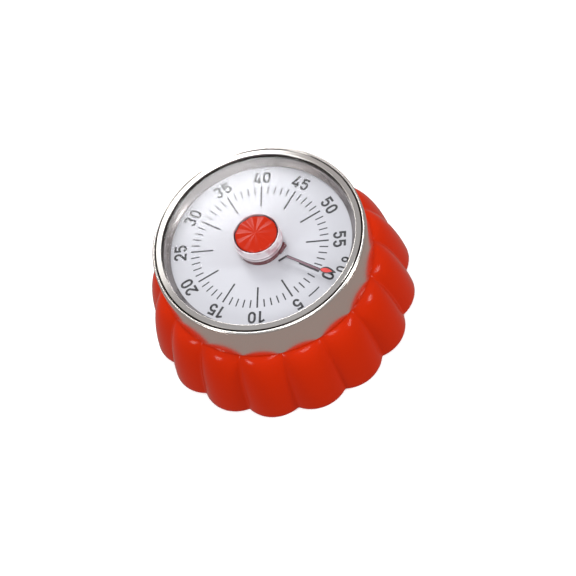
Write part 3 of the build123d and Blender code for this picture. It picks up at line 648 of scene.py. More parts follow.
def scallop_tree() -> bpy.types.NodeTree:
    """Tree that presses equal round lobes into a turned shell.

    Returns:
        The tree. Its vertices' "scallop" attribute says how strongly each is pressed.
    """
    usual = {"Lobes": 16.0, "Phase": 0.0, "Valley": 0.94, "Blend": 0.01}
    tree, wires, given = geometry_tree("scalloped_shell", usual)
    lobes, phase = given.outputs["Lobes"], given.outputs["Phase"]
    valley, blend = given.outputs["Valley"], given.outputs["Blend"]
    x, y, _ = wires.add(
        "ShaderNodeSeparateXYZ", {0: wires.add("GeometryNodeInputPosition").outputs[0]}
    ).outputs
    pitch = wires.math("DIVIDE", FULL_TURN, lobes)
    turned = wires.math("SUBTRACT", wires.math("ARCTAN2", y, x), phase)
    near = wires.math("MULTIPLY", wires.math("ROUND", wires.math("DIVIDE", turned, pitch)), pitch)
    own = wires.math("ABSOLUTE", wires.math("SUBTRACT", turned, near))
    other = wires.math("SUBTRACT", pitch, own)
    edge = wires.math("COSINE", wires.math("MULTIPLY", pitch, 0.5))
    above = wires.math("SUBTRACT", 1.0, wires.math("MULTIPLY", valley, valley))
    below = wires.math("MULTIPLY", 2.0, wires.math("SUBTRACT", 1.0, wires.math("MULTIPLY", valley, edge)))
    centre = wires.math("DIVIDE", above, below)
    bow = wires.math("SUBTRACT", 1.0, centre)

    def reach(angle: bpy.types.NodeSocket) -> bpy.types.NodeSocket:
        """Find how far out a lobe reaches.

        Args:
            angle: Angle from the lobe's middle.

        Returns:
            The reach, as a share of the ridge radius.
        """
        along = wires.math("MULTIPLY", centre, wires.math("COSINE", angle))
        aside = wires.math("MULTIPLY", centre, wires.math("SINE", angle))
        left = wires.math("SUBTRACT", wires.math("MULTIPLY", bow, bow), wires.math("MULTIPLY", aside, aside))
        return wires.math("ADD", along, wires.math("SQRT", wires.math("MAXIMUM", left, 0.0)))

    share = wires.math("SMOOTH_MAX", reach(own), reach(other), blend)
    weight = wires.add("GeometryNodeInputNamedAttribute", {"Name": "scallop"}, data_type="FLOAT").outputs[0]
    press = wires.math("MULTIPLY", wires.math("SUBTRACT", share, 1.0), weight)
    shift = wires.add(
        "ShaderNodeCombineXYZ", {0: wires.math("MULTIPLY", x, press), 1: wires.math("MULTIPLY", y, press)}
    )
    moved = wires.add(
        "GeometryNodeSetPosition", {"Geometry": given.outputs["Geometry"], "Offset": shift.outputs[0]}
    )
    close_tree(wires, given, moved.outputs[0])
    return tree


def marks_tree() -> bpy.types.NodeTree:
    """Tree that sets printed bars round a dial, pointing at its centre.

    Returns:
        The tree.
    """
    usual = {
        "Count": 60.0,
        "Inner": 0.018,
        "Outer": 0.0205,
        "Width": 0.0003,
        "Height": 0.032,
        "Depth": 0.00003,
    }
    tree, wires, given = geometry_tree("dial_marks", usual)
    value = given.outputs
    length = wires.math("SUBTRACT", value["Outer"], value["Inner"])
    middle = wires.math("MULTIPLY", wires.math("ADD", value["Outer"], value["Inner"]), 0.5)
    size = wires.add("ShaderNodeCombineXYZ", {0: length, 1: value["Width"], 2: value["Depth"]})
    bar = wires.add("GeometryNodeMeshCube", {"Size": size.outputs[0]})
    ring = wires.add("GeometryNodeMeshCircle", {"Vertices": value["Count"], "Radius": middle})
    half_depth = wires.math("MULTIPLY", value["Depth"], 0.5)
    raised = wires.add("ShaderNodeCombineXYZ", {2: wires.math("ADD", value["Height"], half_depth)})
    lifted = wires.add("GeometryNodeSetPosition", {"Geometry": ring.outputs[0], "Offset": raised.outputs[0]})
    x, y, _ = wires.add(
        "ShaderNodeSeparateXYZ", {0: wires.add("GeometryNodeInputPosition").outputs[0]}
    ).outputs
    turn = wires.add("ShaderNodeCombineXYZ", {2: wires.math("ARCTAN2", y, x)})
    bars = wires.add(
        "GeometryNodeInstanceOnPoints",
        {"Points": lifted.outputs[0], "Instance": bar.outputs[0], "Rotation": turn.outputs[0]},
    )
    close_tree(wires, given, bars.outputs[0])
    return tree


# ---- Sub-assemblies ---------------------------------------------------------


@dataclass
class Body:
    """Scalloped red shell with the neck that the ring turns round.

    Attributes:
        bottom: Height of the shell's foot.
        top: Height of its shoulder.
        shoulder: Radius at the shoulder.
        flare: How much wider the foot is.
        rise_power: How the widening sets in.
        round_power: How round the shoulder is.
        groove: Groove depth at the foot.
        wall: Wall thickness.
        neck: Outer radius of the neck.
        neck_wall: Its wall.
        neck_top: Its height.
        lobes: Number of lobes.
        phase: Direction of the first lobe in degrees.
        foot_round: Radius of the rounded foot.
        valley_blend: How softly two lobes meet in a valley.
        steps: Points up the outer wall.
        per_lobe: Segments round each lobe.
    """

    bottom: float = 0.6
    top: float = 23.1
    shoulder: float = 30.2
    flare: float = 10.0
    rise_power: float = 1.27
    round_power: float = 2.57
    groove: float = 2.3
    wall: float = 2.0
    neck: float = 30.0
    neck_wall: float = 1.4
    neck_top: float = 31.2
    lobes: int = 16
    phase: float = 4.75
    foot_round: float = 0.7
    valley_blend: float = 0.014
    steps: int = 40
    per_lobe: int = 36

    def radius(self, share: float) -> float:
        """Ridge radius at a share of the height."""
        return self.shoulder + self.flare * (1 - share**self.rise_power) ** (1 / self.round_power)

    def outline(self) -> list[tuple[float, float, float]]:
        """Closed outline of the wall.

        Returns:
            Radius, height and scallop strength of each point.
        """
        foot = self.radius(0)
        points = [(foot - self.foot_round - 0.3, self.bottom, 1.0)]
        middle = (foot - self.foot_round, self.bottom + self.foot_round)
        points += [(x, y, 1.0) for x, y in arc(middle, self.foot_round, -90, -10, 5)]
        for step in range(1, self.steps + 1):
            share = math.sin(math.pi / 2 * step / self.steps)
            height = self.bottom + (self.top - self.bottom) * share
            if height > self.bottom + self.foot_round + 0.5:
                points.append((self.radius(share), height, 1.0 if step < self.steps else 0.0))
        chamfer = 0.2
        points += [(self.neck, self.top + 0.1, 0.0), (self.neck, self.neck_top - chamfer, 0.0)]
        points += [(self.neck - chamfer, self.neck_top, 0.0)]
        inner = self.neck - self.neck_wall
        points += [(inner, self.neck_top, 0.0), (inner, self.top - self.wall, 0.0)]
        for step in range(self.steps // 2, -1, -1):
            share = math.sin(math.pi / 2 * step / (self.steps // 2))
            height = self.bottom + (self.top - self.wall - self.bottom) * share
            points.append((self.radius(share) - self.wall, height, 1.0))
        return points

    def build(self, finishes: Finishes) -> None:
        """Turn the shell, press the lobes into it and dress it.

        Args:
            finishes: Materials to use.
        """
        outline = self.outline()
        start = lathe("shell", [(r, z) for r, z, _ in outline], self.lobes * self.per_lobe)
        strengths = {(round(r, 4), round(z, 4)): s for r, z, s in outline}
        weights = start.data.attributes.new("scallop", "FLOAT", "POINT")
        for vertex, weight in zip(start.data.vertices, weights.data):
            place = vertex.co / MM
            key = (round(math.hypot(place.x, place.y), 4), round(place.z, 4))
            if key not in strengths:
                key = min(strengths, key=lambda known: math.dist(known, key))
            weight.value = strengths[key]
        numbers = {
            "Lobes": self.lobes,
            "Phase": math.radians(self.phase),
            "Valley": 1 - self.groove / (self.shoulder + self.flare),
            "Blend": self.valley_blend,
        }
        shell = grow(start, scallop_tree(), finishes.red, numbers)
        settle(shell, "base", "red_abs", "housing")


@dataclass
class Ring:
    """Steel ring with its rolled edge, and the inner wall that holds the window.

    Attributes:
        outer: Outer radius of the side.
        wall: Thickness of the sheet.
        bottom: Height of the lower edge.
        top: Height of the rim.
        inner: Radius of the rim's opening.
        bead: Radius of the rolled edge.
        bead_height: Height of its middle.
        seam: Height where the side ends and the rolled edge starts.
        step: Height where the groove's wall ends and the rim starts.
    """

    outer: float = 31.7
    wall: float = 0.8
    bottom: float = 23.4
    top: float = 36.7
    inner: float = 28.7
    bead: float = 0.5
    bead_height: float = 35.74
    seam: float = 35.43
    step: float = 36.2

    def build_ring(self, finishes: Finishes) -> None:
        """Turn the ring and dress its side, rolled edge and groove.

        Args:
            finishes: Materials to use.
        """
        outer, chamfer = self.outer, 0.12
        bead_at = (outer - chamfer - self.bead, self.bead_height)
        shelf = outer - 2 * self.bead - 0.34
        loop = [(outer - chamfer, self.bottom), (outer, self.bottom + 0.15)]
        loop += [(outer, 33.0), (outer - 0.02, 34.0), (outer - 0.07, 34.75)]
        loop += [(outer - 0.14, 35.25), (outer - 0.22, self.seam - 0.01), (outer - 0.28, self.seam + 0.01)]
        loop += arc(bead_at, self.bead, -10, 175, 14)
        loop += [(shelf + 0.2, 35.8), (shelf + 0.06, 35.88), (shelf, 36.1)]
        loop += [(shelf - 0.03, 36.3), (shelf - 0.12, self.top - 0.3)]
        loop += [(self.inner + 0.35, self.top - 0.04)]
        rim_round = 0.18
        loop += arc((self.inner + rim_round, self.top - rim_round), rim_round, 80, 200, 6)
        sheet = outer - self.wall
        loop += [(self.inner + 0.12, self.top - 0.75), (sheet, 35.5)]
        loop += [(sheet, self.bottom + 0.15), (sheet + chamfer, self.bottom)]
        ring = lathe("bezel_ring_turned", loop, 320, 28.0)
        dress(ring, finishes.steel, finishes.bright, finishes.groove)

        def polished(at: Vector, normal: Vector) -> bool:
            """True on the rolled edge and on the rim."""
            rolled = at.z > self.seam * MM and at.xy.length > (shelf + 0.1) * MM
            return rolled or at.z > self.step * MM

        def recessed(at: Vector, normal: Vector) -> bool:
            """True in the groove between them; its faces take the near-black steel as painted shade."""
            near = (shelf - 0.03) * MM < at.xy.length < (shelf + 0.3) * MM
            return near and self.seam * MM < at.z < (self.step + 0.02) * MM

        choose_faces(ring, 1, polished)
        choose_faces(ring, 2, recessed)
        settle(ring, "ring", "stainless", "bezel_ring")

    def build_wall(self, finishes: Finishes) -> None:
        """Turn the inner wall, which leans out from the dial's edge to the window.

        Args:
            finishes: Materials to use.
        """
        low, high, outer, inner = 32.4, 34.7, 30.9, 27.0
        loop = [(inner, low), (outer, low), (outer, high), (28.45, high), (28.3, high - 0.2)]
        loop += [(27.6, 33.0), (inner + 0.05, low + 0.2)]
        wall = dress(lathe("inner_wall", loop, 256, 50.0), finishes.wall)
        settle(wall, "ring", "grey_ring", "retaining_ring")

    def build(self, finishes: Finishes) -> None:
        """Build the ring and the inner wall.

        Args:
            finishes: Materials to use.
        """
        self.build_ring(finishes)
        self.build_wall(finishes)


@dataclass
class Crown:
    """Clear window with its centre tube, the red cap in it and the hub behind it.

    Attributes:
        edge: Outer radius of the window.
        tube: Outer radius of the tube.
        foot: Outer radius of the tube at its foot.
        bore: Its inner radius.
        mouth: Radius of the tube's mouth, round the cap.
        cap: Radius of the cap.
        ridges: Ridges on the cap.
        cap_top: Height of the cap's crown.
        ridge_phase: Direction of the first ridge in degrees.
        low: Height of the tube's lower end.
        under: Height of the window's underside.
        face: Height of its face.
        seat: Height of the seat that the cap stands on.
    """

    edge: float = 30.8
    tube: float = 6.9
    foot: float = 6.0
    bore: float = 5.9
    mouth: float = 6.6
    cap: float = 6.32
    ridges: int = 10
    cap_top: float = 39.6
    ridge_phase: float = 8.0
    low: float = 32.5
    under: float = 34.7
    face: float = 35.85
    seat: float = 36.6

    def build_window(self, finishes: Finishes) -> None:
        """Turn the window and its tube in one piece.

        Args:
            finishes: Materials to use.
        """
        taper, fillet, lip, lip_top = self.foot + 0.48, 0.15, 0.12, 38.8
        loop = [(self.foot - 0.8, self.low), (self.foot, self.low)]
        loop += [(taper, self.under - 0.1), (taper + 0.1, self.under)]
        loop += [(radius, self.under) for radius in (7.1, 7.4, 30.3, 30.6)]
        loop += [(self.edge, self.under + 0.1), (self.edge, 35.45), (30.6, 35.53), (29.3, 35.82)]
        loop += [(radius, self.face) for radius in (29.0, 28.7, 7.4, 7.1)]
        loop += arc((self.tube + 0.1, self.face + fillet), fillet, 270, 180, 4)
        loop += [(self.tube, self.seat), (self.tube, lip_top)]
        loop += arc((self.tube - lip, lip_top), lip, 0, 90, 4)
        loop += [(self.mouth, lip_top + 0.1), (self.mouth, self.seat), (self.bore, self.seat)]
        window = dress(lathe("window", loop, 256, 40.0), finishes.window, finishes.milky)
        choose_faces(window, 1, lambda at, normal: at.xy.length < (self.tube + 0.19) * MM)
        settle(window, "ring", "clear_acrylic", "lens")

    def cap_height(self, radius: float, angle: float) -> float:
        """Height of the cap's face: sharp ridges that fade towards the centre.

        Args:
            radius: Distance from the axis in millimetres.
            angle: Direction in radians.

        Returns:
            The height in millimetres.
        """
        sharpness = 0.94
        share = radius / self.cap
        wave = math.cos(self.ridges * (angle - math.radians(self.ridge_phase)))
        crest = 0.5 + math.asin(sharpness * wave) / (2 * math.asin(sharpness))
        fade = share**0.85
        edge = 0.3 * max(0.0, (share - 0.9) / 0.1) ** 2
        return self.cap_top - 0.25 + 0.42 * (crest - 0.5) * fade - 0.75 * share**2 - edge

    def build_cap(self, finishes: Finishes) -> None:
        """Build the ridged cap and its skirt.

        Args:
            finishes: Materials to use.
        """
        rings, segments = 30, self.ridges * 24
        corners = [Vector((0, 0, self.cap_height(0, 0))) * MM]
        for ring in range(1, rings + 1):
            radius = self.cap * ring / rings
            for step in range(segments):
                angle = FULL_TURN * step / segments
                height = self.cap_height(radius, angle)
                corners.append(Vector((radius * math.cos(angle), radius * math.sin(angle), height)) * MM)
        for step in range(segments):
            angle = FULL_TURN * step / segments
            place = (self.cap * math.cos(angle), self.cap * math.sin(angle), self.seat + 0.05)
            corners.append(Vector(place) * MM)
        faces: list[tuple[int, ...]] = []
        for step in range(segments):
            following = (step + 1) % segments
            faces.append((0, 1 + step, 1 + following))
            for ring in range(rings):
                low, high = 1 + ring * segments, 1 + (ring + 1) * segments
                faces.append((low + step, high + step, high + following, low + following))
        faces.append(tuple(1 + rings * segments + step for step in reversed(range(segments))))
        cap = dress(solid("ridged_cap", corners, faces, 50.0), finishes.cap_red, finishes.deep_red)
        # The cap's outer rim and skirt take the dark red: painted shade in its recessed edge.
        choose_faces(cap, 1, lambda at, normal: at.xy.length > 0.97 * self.cap * MM)
        settle(cap, "ring", "red_cap", "centre_cap")

    def build_hub(self, finishes: Finishes) -> None:
        """Build the white hub, with a dark red collar and tab at its foot that paint the red crescent
        reflected at the tube's foot.

        Args:
            finishes: Materials to use.
        """
        inner, low, high = 2.05, self.low + 0.1, self.seat - 0.1
        loop = [(inner, low), (self.foot - 0.9, low), (self.bore - 0.1, high), (inner, high)]
        hub = dress(lathe("drive_hub_white", loop, 96), finishes.white)
        settle(hub, "ring", "white_abs", "drive_hub")
        # The dark red collar and tab are a painted reflection: they paint the dark red crescent seen at the
        # foot of the clear tube.
        foot, bottom, top = self.foot, 32.1, 34.0
        loop = [(foot - 0.8, bottom), (foot + 0.62, bottom), (foot + 0.72, top - 0.2), (foot + 0.5, top)]
        loop += [(foot + 0.4, top - 0.05), (foot + 0.03, bottom + 0.35), (foot - 0.8, bottom + 0.35)]
        collar = dress(lathe("red_reflection_collar", loop, 128), finishes.deep_red)
        settle(collar, "ring", "red_cap")
        tab = [(0.1, 5.9), (0.1, 7.05), (-3.0, 7.15), (-3.0, 5.4)]
        block = dress(plate("red_reflection_tab", [tab], bottom + 0.05, top), finishes.deep_red)
        settle(block, "ring", "red_cap")

    def build(self, finishes: Finishes) -> None:
        """Build the window, the cap and the hub.

        Args:
            finishes: Materials to use.
        """
        self.build_window(finishes)
        self.build_cap(finishes)
        self.build_hub(finishes)


@dataclass
class Pointer:
    """Flat pointer under the window: a hooked needle with a leaf at its end.

    Attributes:
        low: Height of the underside.
        high: Height of the edge layer's top.
        coat: Thickness of the painted face.
        width: Width of the needle.
        hook_width: Width of the hook.
        hook: Free end of the hook.
        bend: Where the hook meets the needle.
        root: Where the leaf starts.
        tip: Point of the leaf.
        left: Half width of the leaf on the left of its line.
        right: Half width on its right.
        off_line: How far the pointer is bonded off its place.
    """

    low: float = 34.3
    high: float = 34.63
    coat: float = 0.05
    width: float = 0.75
    hook_width: float = 0.5
    hook: Point = (2.9, 9.1)
    bend: Point = (0.5, 10.4)
    root: Point = (0.35, 21.6)
    tip: Point = (-0.8, 26.4)
    left: float = 1.2
    right: float = 0.75
    off_line: Point = (0.36, -0.32)

    def leaf(self, left: float, right: float, trim: float = 0.0, steps: int = 12) -> list[Point]:
        """Outline of the leaf.

        Args:
            left: Half width on the left of the pointer's line.
            right: Half width on its right.
            trim: How far the ends are drawn in.
            steps: Points along each side.

        Returns:
            The outline, anticlockwise.
        """
        start, end = Vector(self.root), Vector(self.tip)
        along = (end - start).normalized()
        across = Vector((along.y, -along.x))
        first, last = start + along * trim, end - along * trim * 4
        points = []
        for side, half in ((1, right), (-1, left)):
            for step in range(steps):
                share = step / steps if side == 1 else 1 - step / steps
                swell = math.sin(math.pi * share**0.75)
                at = first.lerp(last, share) + across * side * swell * half
                points.append((at.x, at.y))
        return points

    def build(self, finishes: Finishes) -> None:
        """Build the pointer in layers: dark edge, mauve needle, red leaf.

        Args:
            finishes: Materials to use.
        """
        face = self.high + self.coat
        outlines = ribbon([self.bend, self.root], self.width)
        outlines += ribbon([self.hook, self.bend], self.hook_width)
        outlines.append(self.leaf(self.left, self.right))
        edge = plate("pointer_edge", outlines, self.low, self.high)
        settle(shifted(dress(edge, finishes.tip_black), self.off_line), "ring", "pointer_paint", "pointer")
        aside = self.width * 0.12
        line = [(self.bend[0] + aside, self.bend[1] + 0.25), (self.root[0] + aside, self.root[1])]
        needle = plate("pointer_face", ribbon(line, self.width * 0.72), self.high, face)
        settle(shifted(dress(needle, finishes.needle), self.off_line), "ring", "pointer_paint")
        inner = self.leaf(self.left * 0.62, self.right * 0.9, 0.25)
        leaf = dress(plate("pointer_leaf", [inner], self.high, face), finishes.tip_red)
        settle(shifted(leaf, self.off_line), "ring", "pointer_paint")


class Digits:
    """Narrow even-stroke figures on a grid one high and 0.6 wide."""

    WIDTH = 0.61
    STROKE = 0.175

    @classmethod
    def lines(cls, figure: str) -> list[tuple[list[Point], bool]]:
        """Centre lines of one figure.

        Args:
            figure: A character from 0 to 6.

        Returns:
            Each line's points, and whether it is closed.
        """
        half = cls.STROKE / 2
        left, right, low, high = half, cls.WIDTH - half, half, 1 - half
        middle = cls.WIDTH / 2
        bow = middle - half

        def bend(centre_y: float, start: float, end: float, tall: float = 1.25) -> list[Point]:
            """Part of an upright oval as wide as the figure."""
            points = arc((0, 0), bow, start, end, 10)
            return [(middle + x, centre_y + y * tall) for x, y in points]

        top_y = high - bow * 1.25
        low_y = low + bow * 1.25
        if figure == "0":
            return [(bend(top_y, 0, 180) + bend(low_y, 180, 360), True)]
        if figure == "1":
            stem = right - 0.08
            return [([(stem, 0.0), (stem, 1.0)], False), ([(left, 0.76), (stem, 0.95)], False)]
        if figure == "2":
            return [(bend(top_y, 172, -25) + [(left, low)], False), ([(0.0, low), (cls.WIDTH, low)], False)]
        if figure == "3":
            upper = arc((middle, 0.745), bow * 0.94, 165, -80, 12)
            lower = arc((middle, 0.285), bow, 85, -170, 14)
            upper = [(x, 0.745 + (y - 0.745) * 0.92) for x, y in upper]
            return [(upper, False), (lower, False)]
        if figure == "4":
            stem = right - 0.06
            bar = [([(0.0, 0.24), (cls.WIDTH, 0.24)], False)]
            slope = ([(left + 0.02, 0.24), (middle + 0.02, 1.0)], False)
            return bar + [slope, ([(stem, 0.0), (stem, 0.5)], False)]
        if figure == "5":
            bowl = [(middle + x, low_y + y * 1.2) for x, y in arc((0, 0), bow, 125, -165, 16)]
            flag = ([(right, high), (left, high)], False)
            return [flag, ([(left, 1.0), (left, 0.47)], False), (bowl, False)]
        bowl = bend(low_y, 0, 360)[:-1]
        return [(bowl, True), ([(left, low_y), (left + 0.03, 0.55), (middle + 0.06, 1.0)], False)]

    @classmethod
    def outlines(cls, figure: str) -> list[list[Point]]:
        """Outlines of one figure, centred on its middle.

        Args:
            figure: A character from 0 to 6.

        Returns:
            One outline for each span of its strokes.
        """
        made = []
        for line, closed in cls.lines(figure):
            made += ribbon(line, cls.STROKE, closed)
        return [[(x - cls.WIDTH / 2, y - 0.5) for x, y in outline] for outline in made]


@dataclass
class Dial:
    """Printed dial with minute marks, numbers and the winding line.

    Attributes:
        radius: Outer radius.
        low: Underside.
        face: Height of the printed face.
        outer: Outer radius of the marks.
        long_inner: Inner radius of the five-minute marks.
        short_inner: Inner radius of the minute marks.
        number_at: Radius of the numbers' middle.
        number_height: Height of the numbers.
        spacing: From one digit to the next.
        ink: Thickness of the print.
        off_centre: How far the print sits from the disc's centre.
        bore: Radius of the hole for the spindle.
        mark_width: Width of the five-minute marks.
        minute_width: Width of the minute marks.
        label: Figures of the small 60, each with its radius and direction.
        label_height: Height of the small figures.
        line_at: Radius of the winding line.
        line_span: Its first and last direction in degrees.
        line_width: Its width.
        digits: Shapes of the figures.
    """

    radius: float = 28.2
    low: float = 31.6
    face: float = 32.0
    outer: float = 20.5
    long_inner: float = 13.8
    short_inner: float = 17.95
    number_at: float = 23.65
    number_height: float = 3.85
    spacing: float = 2.9
    ink: float = 0.03
    off_centre: Point = (0.36, -0.32)
    bore: float = 3.0
    mark_width: float = 0.5
    minute_width: float = 0.38
    label: tuple[tuple[str, float, float], ...] = (("0", 26.35, 97.4), ("6", 26.75, 104.6))
    label_height: float = 3.1
    line_at: float = 23.6
    line_span: Point = (69.5, 79.5)
    line_width: float = 0.4
    digits: type[Digits] = field(default=Digits)

    def placed(self, figure: str, middle: Point, turn: float, height: float) -> list[list[Point]]:
        """Outlines of one figure where it is printed.

        Args:
            figure: The character.
            middle: Place of its middle on the dial.
            turn: Anticlockwise turn in degrees.
            height: Height of the figure.

        Returns:
            The outlines in millimetres.
        """
        cos, sin = math.cos(math.radians(turn)), math.sin(math.radians(turn))

        def set_down(x: float, y: float) -> Point:
            """Turn a point of the figure and move it to its place."""
            return middle[0] + height * (x * cos - y * sin), middle[1] + height * (x * sin + y * cos)

        return [[set_down(x, y) for x, y in outline] for outline in self.digits.outlines(figure)]

    def numbers(self) -> list[list[Point]]:
        """Outlines of every number on the dial.

        Returns:
            The outlines in millimetres.
        """
        made = []
        for minute in range(0, 60, 5):
            angle = 90 - 6 * minute
            text = str(minute)
            cos, sin = math.cos(math.radians(angle)), math.sin(math.radians(angle))
            for place, figure in enumerate(text):
                along = (place - (len(text) - 1) / 2) * self.spacing
                middle = (self.number_at * cos + along * sin, self.number_at * sin - along * cos)
                made += self.placed(figure, middle, angle - 90, self.number_height)
        for figure, reach, angle in self.label:
            cos, sin = math.cos(math.radians(angle)), math.sin(math.radians(angle))
            made += self.placed(figure, (reach * cos, reach * sin), angle - 90, self.label_height)
        return made

    def lay(self, printed: bpy.types.Object) -> None:
        """Lay a printed piece on the dial, slightly off centre."""
        settle(shifted(printed, self.off_centre), "base", "printed_dial")

    def build(self, finishes: Finishes) -> None:
        """Build the dial, its marks and its print.

        Args:
            finishes: Materials to use.
        """
        low, face = self.low, self.face
        loop = [(self.bore, low), (self.radius, low), (self.radius, face), (self.bore, face)]
        disc = dress(lathe("dial_face", loop, 256), finishes.card)
        settle(disc, "base", "printed_dial", "dial")
        tree = marks_tree()
        for name, count, inner, width, depth in (
            ("five_minute_marks", 12, self.long_inner, self.mark_width, self.ink),
            ("minute_marks", 60, self.short_inner, self.minute_width, self.ink * 0.8),
        ):
            start = bpy.data.objects.new(name, bpy.data.meshes.new(name))
            bpy.context.scene.collection.objects.link(start)
            numbers = {
                "Count": count,
                "Inner": inner * MM,
                "Outer": self.outer * MM,
                "Width": width * MM,
                "Height": face * MM,
                "Depth": depth * MM,
            }
            self.lay(grow(start, tree, finishes.ink, numbers))
        print_top = face + self.ink
        self.lay(dress(plate("numerals", self.numbers(), face, print_top), finishes.ink))
        line = ribbon(arc((0, 0), self.line_at, *self.line_span), self.line_width)
        self.lay(dress(plate("winding_line", line, face, print_top), finishes.ink))


@dataclass
class Clockwork:
    """Pieces that keep their CAD shapes and get better finishes.

    Attributes:
        zinc: Plated steel pieces.
        brass: Brass pieces.
        spring: Blued spring steel pieces.
    """

    zinc: tuple[str, ...] = (
        "cover_screws", "bell_post", "bell_screw", "back_plate", "front_plate", "plate_pillars",
        "pillar_nuts", "spring_barrel", "hammer_stud", "carrier_screws", "movement_screws", "spindle",
        "click_pin", "second_arbor", "third_arbor", "escape_arbor", "pallet_arbor", "balance_bar",
        "hammer_arm",
    )
    brass: tuple[str, ...] = (
        "spindle_bushes", "release_cam", "great_wheel", "second_wheel", "third_wheel", "escape_wheel",
        "pallet_lever", "hammer_head",
    )
    spring: tuple[str, ...] = ("mainspring", "ratchet_wheel", "click", "hammer_spring")

    def build(self, finishes: Finishes) -> None:
        """Dress every piece that keeps its CAD shape.

        Args:
            finishes: Materials to use.
        """
        groups = (
            (self.zinc, finishes.zinc),
            (self.brass, finishes.brass),
            (self.spring, finishes.spring),
            (("bell",), finishes.nickel),
            (("dial_carrier",), finishes.white),
            (("base_cover",), finishes.red),
            (("foot_ring",), finishes.rubber),
        )
        for names, material in groups:
            for name in names:
                piece = dress(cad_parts[name], material)
                for face in piece.data.polygons:
                    face.material_index = 0
                report(piece)


# ---- Studio -----------------------------------------------------------------


def direction(azimuth: float, elevation: float) -> Vector:
    """Unit vector from the timer towards a lamp or the camera.

    Args:
        azimuth: Degrees anticlockwise from the -Y side.
        elevation: Degrees above the floor.

    Returns:
        The vector.
    """
    a, e = math.radians(azimuth), math.radians(elevation)
    return Vector((math.sin(a) * math.cos(e), -math.cos(a) * math.cos(e), math.sin(e)))


@dataclass(frozen=True)
class Lamp:
    """Soft round lamp that faces the timer.

    Attributes:
        name: Lamp name.
        azimuth: Direction round the timer, as for the camera.
        elevation: Height in degrees.
        reach: Distance in metres.
        size: Width of the lamp in metres.
        watts: Power.
    """

    name: str
    azimuth: float
    elevation: float
    reach: float
    size: float
    watts: float

    def build(self) -> None:
        """Make the lamp."""
        data = bpy.data.lights.new(self.name, "AREA")
        data.shape, data.size, data.energy = "DISK", self.size, self.watts
        lamp = bpy.data.objects.new(self.name, data)
        bpy.context.scene.collection.objects.link(lamp)
        out = direction(self.azimuth, self.elevation)
        lamp.location = out * self.reach
        lamp.rotation_mode = "QUATERNION"
        lamp.rotation_quaternion = out.to_track_quat("Z", "Y")


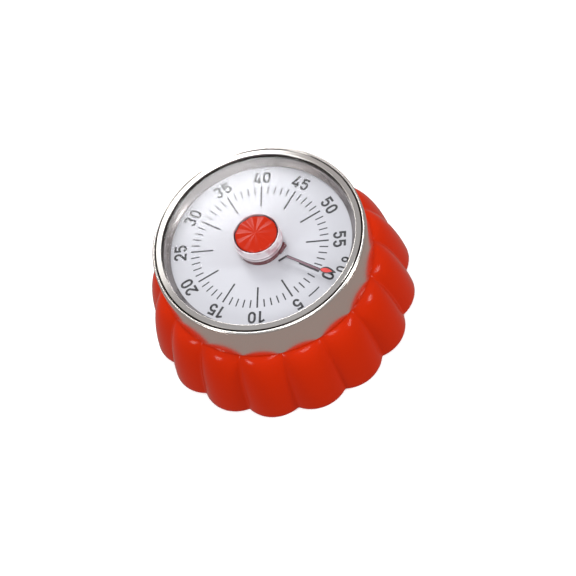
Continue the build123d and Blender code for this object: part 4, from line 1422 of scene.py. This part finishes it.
@dataclass
class Studio:
    """Pale floor, soft lights and the camera.

    Attributes:
        azimuth: Camera direction round the timer in degrees.
        elevation: Camera height in degrees.
        roll: Turn of the picture in degrees.
        distance: From the camera to the dial, in metres.
        aside: How far the camera stands to the right of the dial's centre.
        below: How far it stands below it.
        lens: Focal length in millimetres.
        dial_height: Height of the dial that the camera is set by, in metres.
        low_light: Colour of the room below the timer.
        high_light: Colour of the room above it.
        glow: Strength of the floor's own light.
        floor_side: Half the width of the floor, in metres.
        lamps: The soft lamps.
    """

    azimuth: float = 141.05
    elevation: float = 57.49
    roll: float = -22.85
    distance: float = 0.6388
    aside: float = 0.00784
    below: float = 0.01228
    lens: float = 137.5
    dial_height: float = 0.032
    low_light: Colour = (0.34, 0.285, 0.265)
    high_light: Colour = (0.52, 0.52, 0.54)
    glow: float = 0.4
    floor_side: float = 3.0
    lamps: tuple[Lamp, ...] = (
        Lamp("back_box", 326.0, 37.5, 1.2, 0.64, 5.6),
        Lamp("left_box", 72.0, 30.0, 1.2, 0.34, 4.2),
        Lamp("right_box", 207.0, 27.0, 1.2, 0.38, 5.2),
        Lamp("rim_box", 351.0, 42.0, 1.2, 0.4, 0.5),
        Lamp("top_box", 150.0, 66.0, 1.4, 0.5, 6.2),
        Lamp("window_sheen", 322.1, 53.0, 1.2, 0.12, 0.5),
    )

    def axes(self) -> tuple[Vector, Vector, Vector]:
        """Find the camera's own directions.

        Returns:
            Its right, up and back directions.
        """
        back = direction(self.azimuth, self.elevation)
        right = Vector((0, 0, 1)).cross(back).normalized()
        up = back.cross(right)
        turn = Matrix.Rotation(math.radians(self.roll), 3, back)
        return turn @ right, turn @ up, back

    def place_camera(self) -> None:
        """Make the scene's camera."""
        right, up, back = self.axes()
        data = bpy.data.cameras.new("camera")
        data.lens, data.sensor_width, data.clip_start = self.lens, 36.0, 0.01
        camera = bpy.data.objects.new("camera", data)
        bpy.context.scene.collection.objects.link(camera)
        place = Vector((0, 0, self.dial_height)) + back * self.distance
        place += right * self.aside - up * self.below
        turned = Matrix((right, up, back)).transposed().to_4x4()
        camera.matrix_world = Matrix.Translation(place) @ turned
        bpy.context.scene.camera = camera

    def light_room(self) -> None:
        """Make the room's soft light, warmer below and cooler above."""
        world = bpy.data.worlds.new("studio")
        bpy.context.scene.world = world
        world.use_nodes = True
        wires = Wires(world.node_tree)
        toward = wires.add("ShaderNodeTexCoord").outputs["Generated"]
        height = wires.add("ShaderNodeSeparateXYZ", {0: toward}).outputs[2]
        share = wires.add("ShaderNodeMapRange", {"Value": height, "From Min": -0.3, "From Max": 0.9})
        sky = wires.mix(share.outputs[0], (*self.low_light, 1.0), (*self.high_light, 1.0))
        world.node_tree.links.new(sky, world.node_tree.nodes["Background"].inputs["Color"])

    def lay_floor(self) -> None:
        """Make the pale floor."""
        mesh = bpy.data.meshes.new("floor")
        side = self.floor_side
        corners = [(-side, -side, 0), (side, -side, 0), (side, side, 0), (-side, side, 0)]
        mesh.from_pydata(corners, [], [(0, 1, 2, 3)])
        floor = bpy.data.objects.new("floor", mesh)
        bpy.context.scene.collection.objects.link(floor)
        pale = Finish("pale_floor", (0.9, 0.9, 0.9), 0.7, variation=0.005, relief=0.0).build()
        floor.data.materials.append(pale)
        shader = pale.node_tree.nodes["Principled BSDF"]
        shader.inputs["Emission Color"].default_value = (1.0, 1.0, 1.0, 1.0)
        shader.inputs["Emission Strength"].default_value = self.glow
        floor.visible_glossy = False
        floor.visible_diffuse = False

    def build(self) -> None:
        """Set up room, floor, lamps and camera."""
        bpy.context.scene.view_settings.view_transform = "Standard"
        self.light_room()
        self.lay_floor()
        for lamp in self.lamps:
            lamp.build()
        self.place_camera()


def main() -> None:
    """Build the timer and the studio in order."""
    logging.basicConfig(level=logging.INFO, format="%(message)s")
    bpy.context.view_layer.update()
    finishes = Finishes()
    for assembly in (Body(), Ring(), Crown(), Pointer(), Dial(), Clockwork()):
        LOG.info("building %s", type(assembly).__name__)
        assembly.build(finishes)
    Studio().build()


if __name__ == "__main__":
    main()
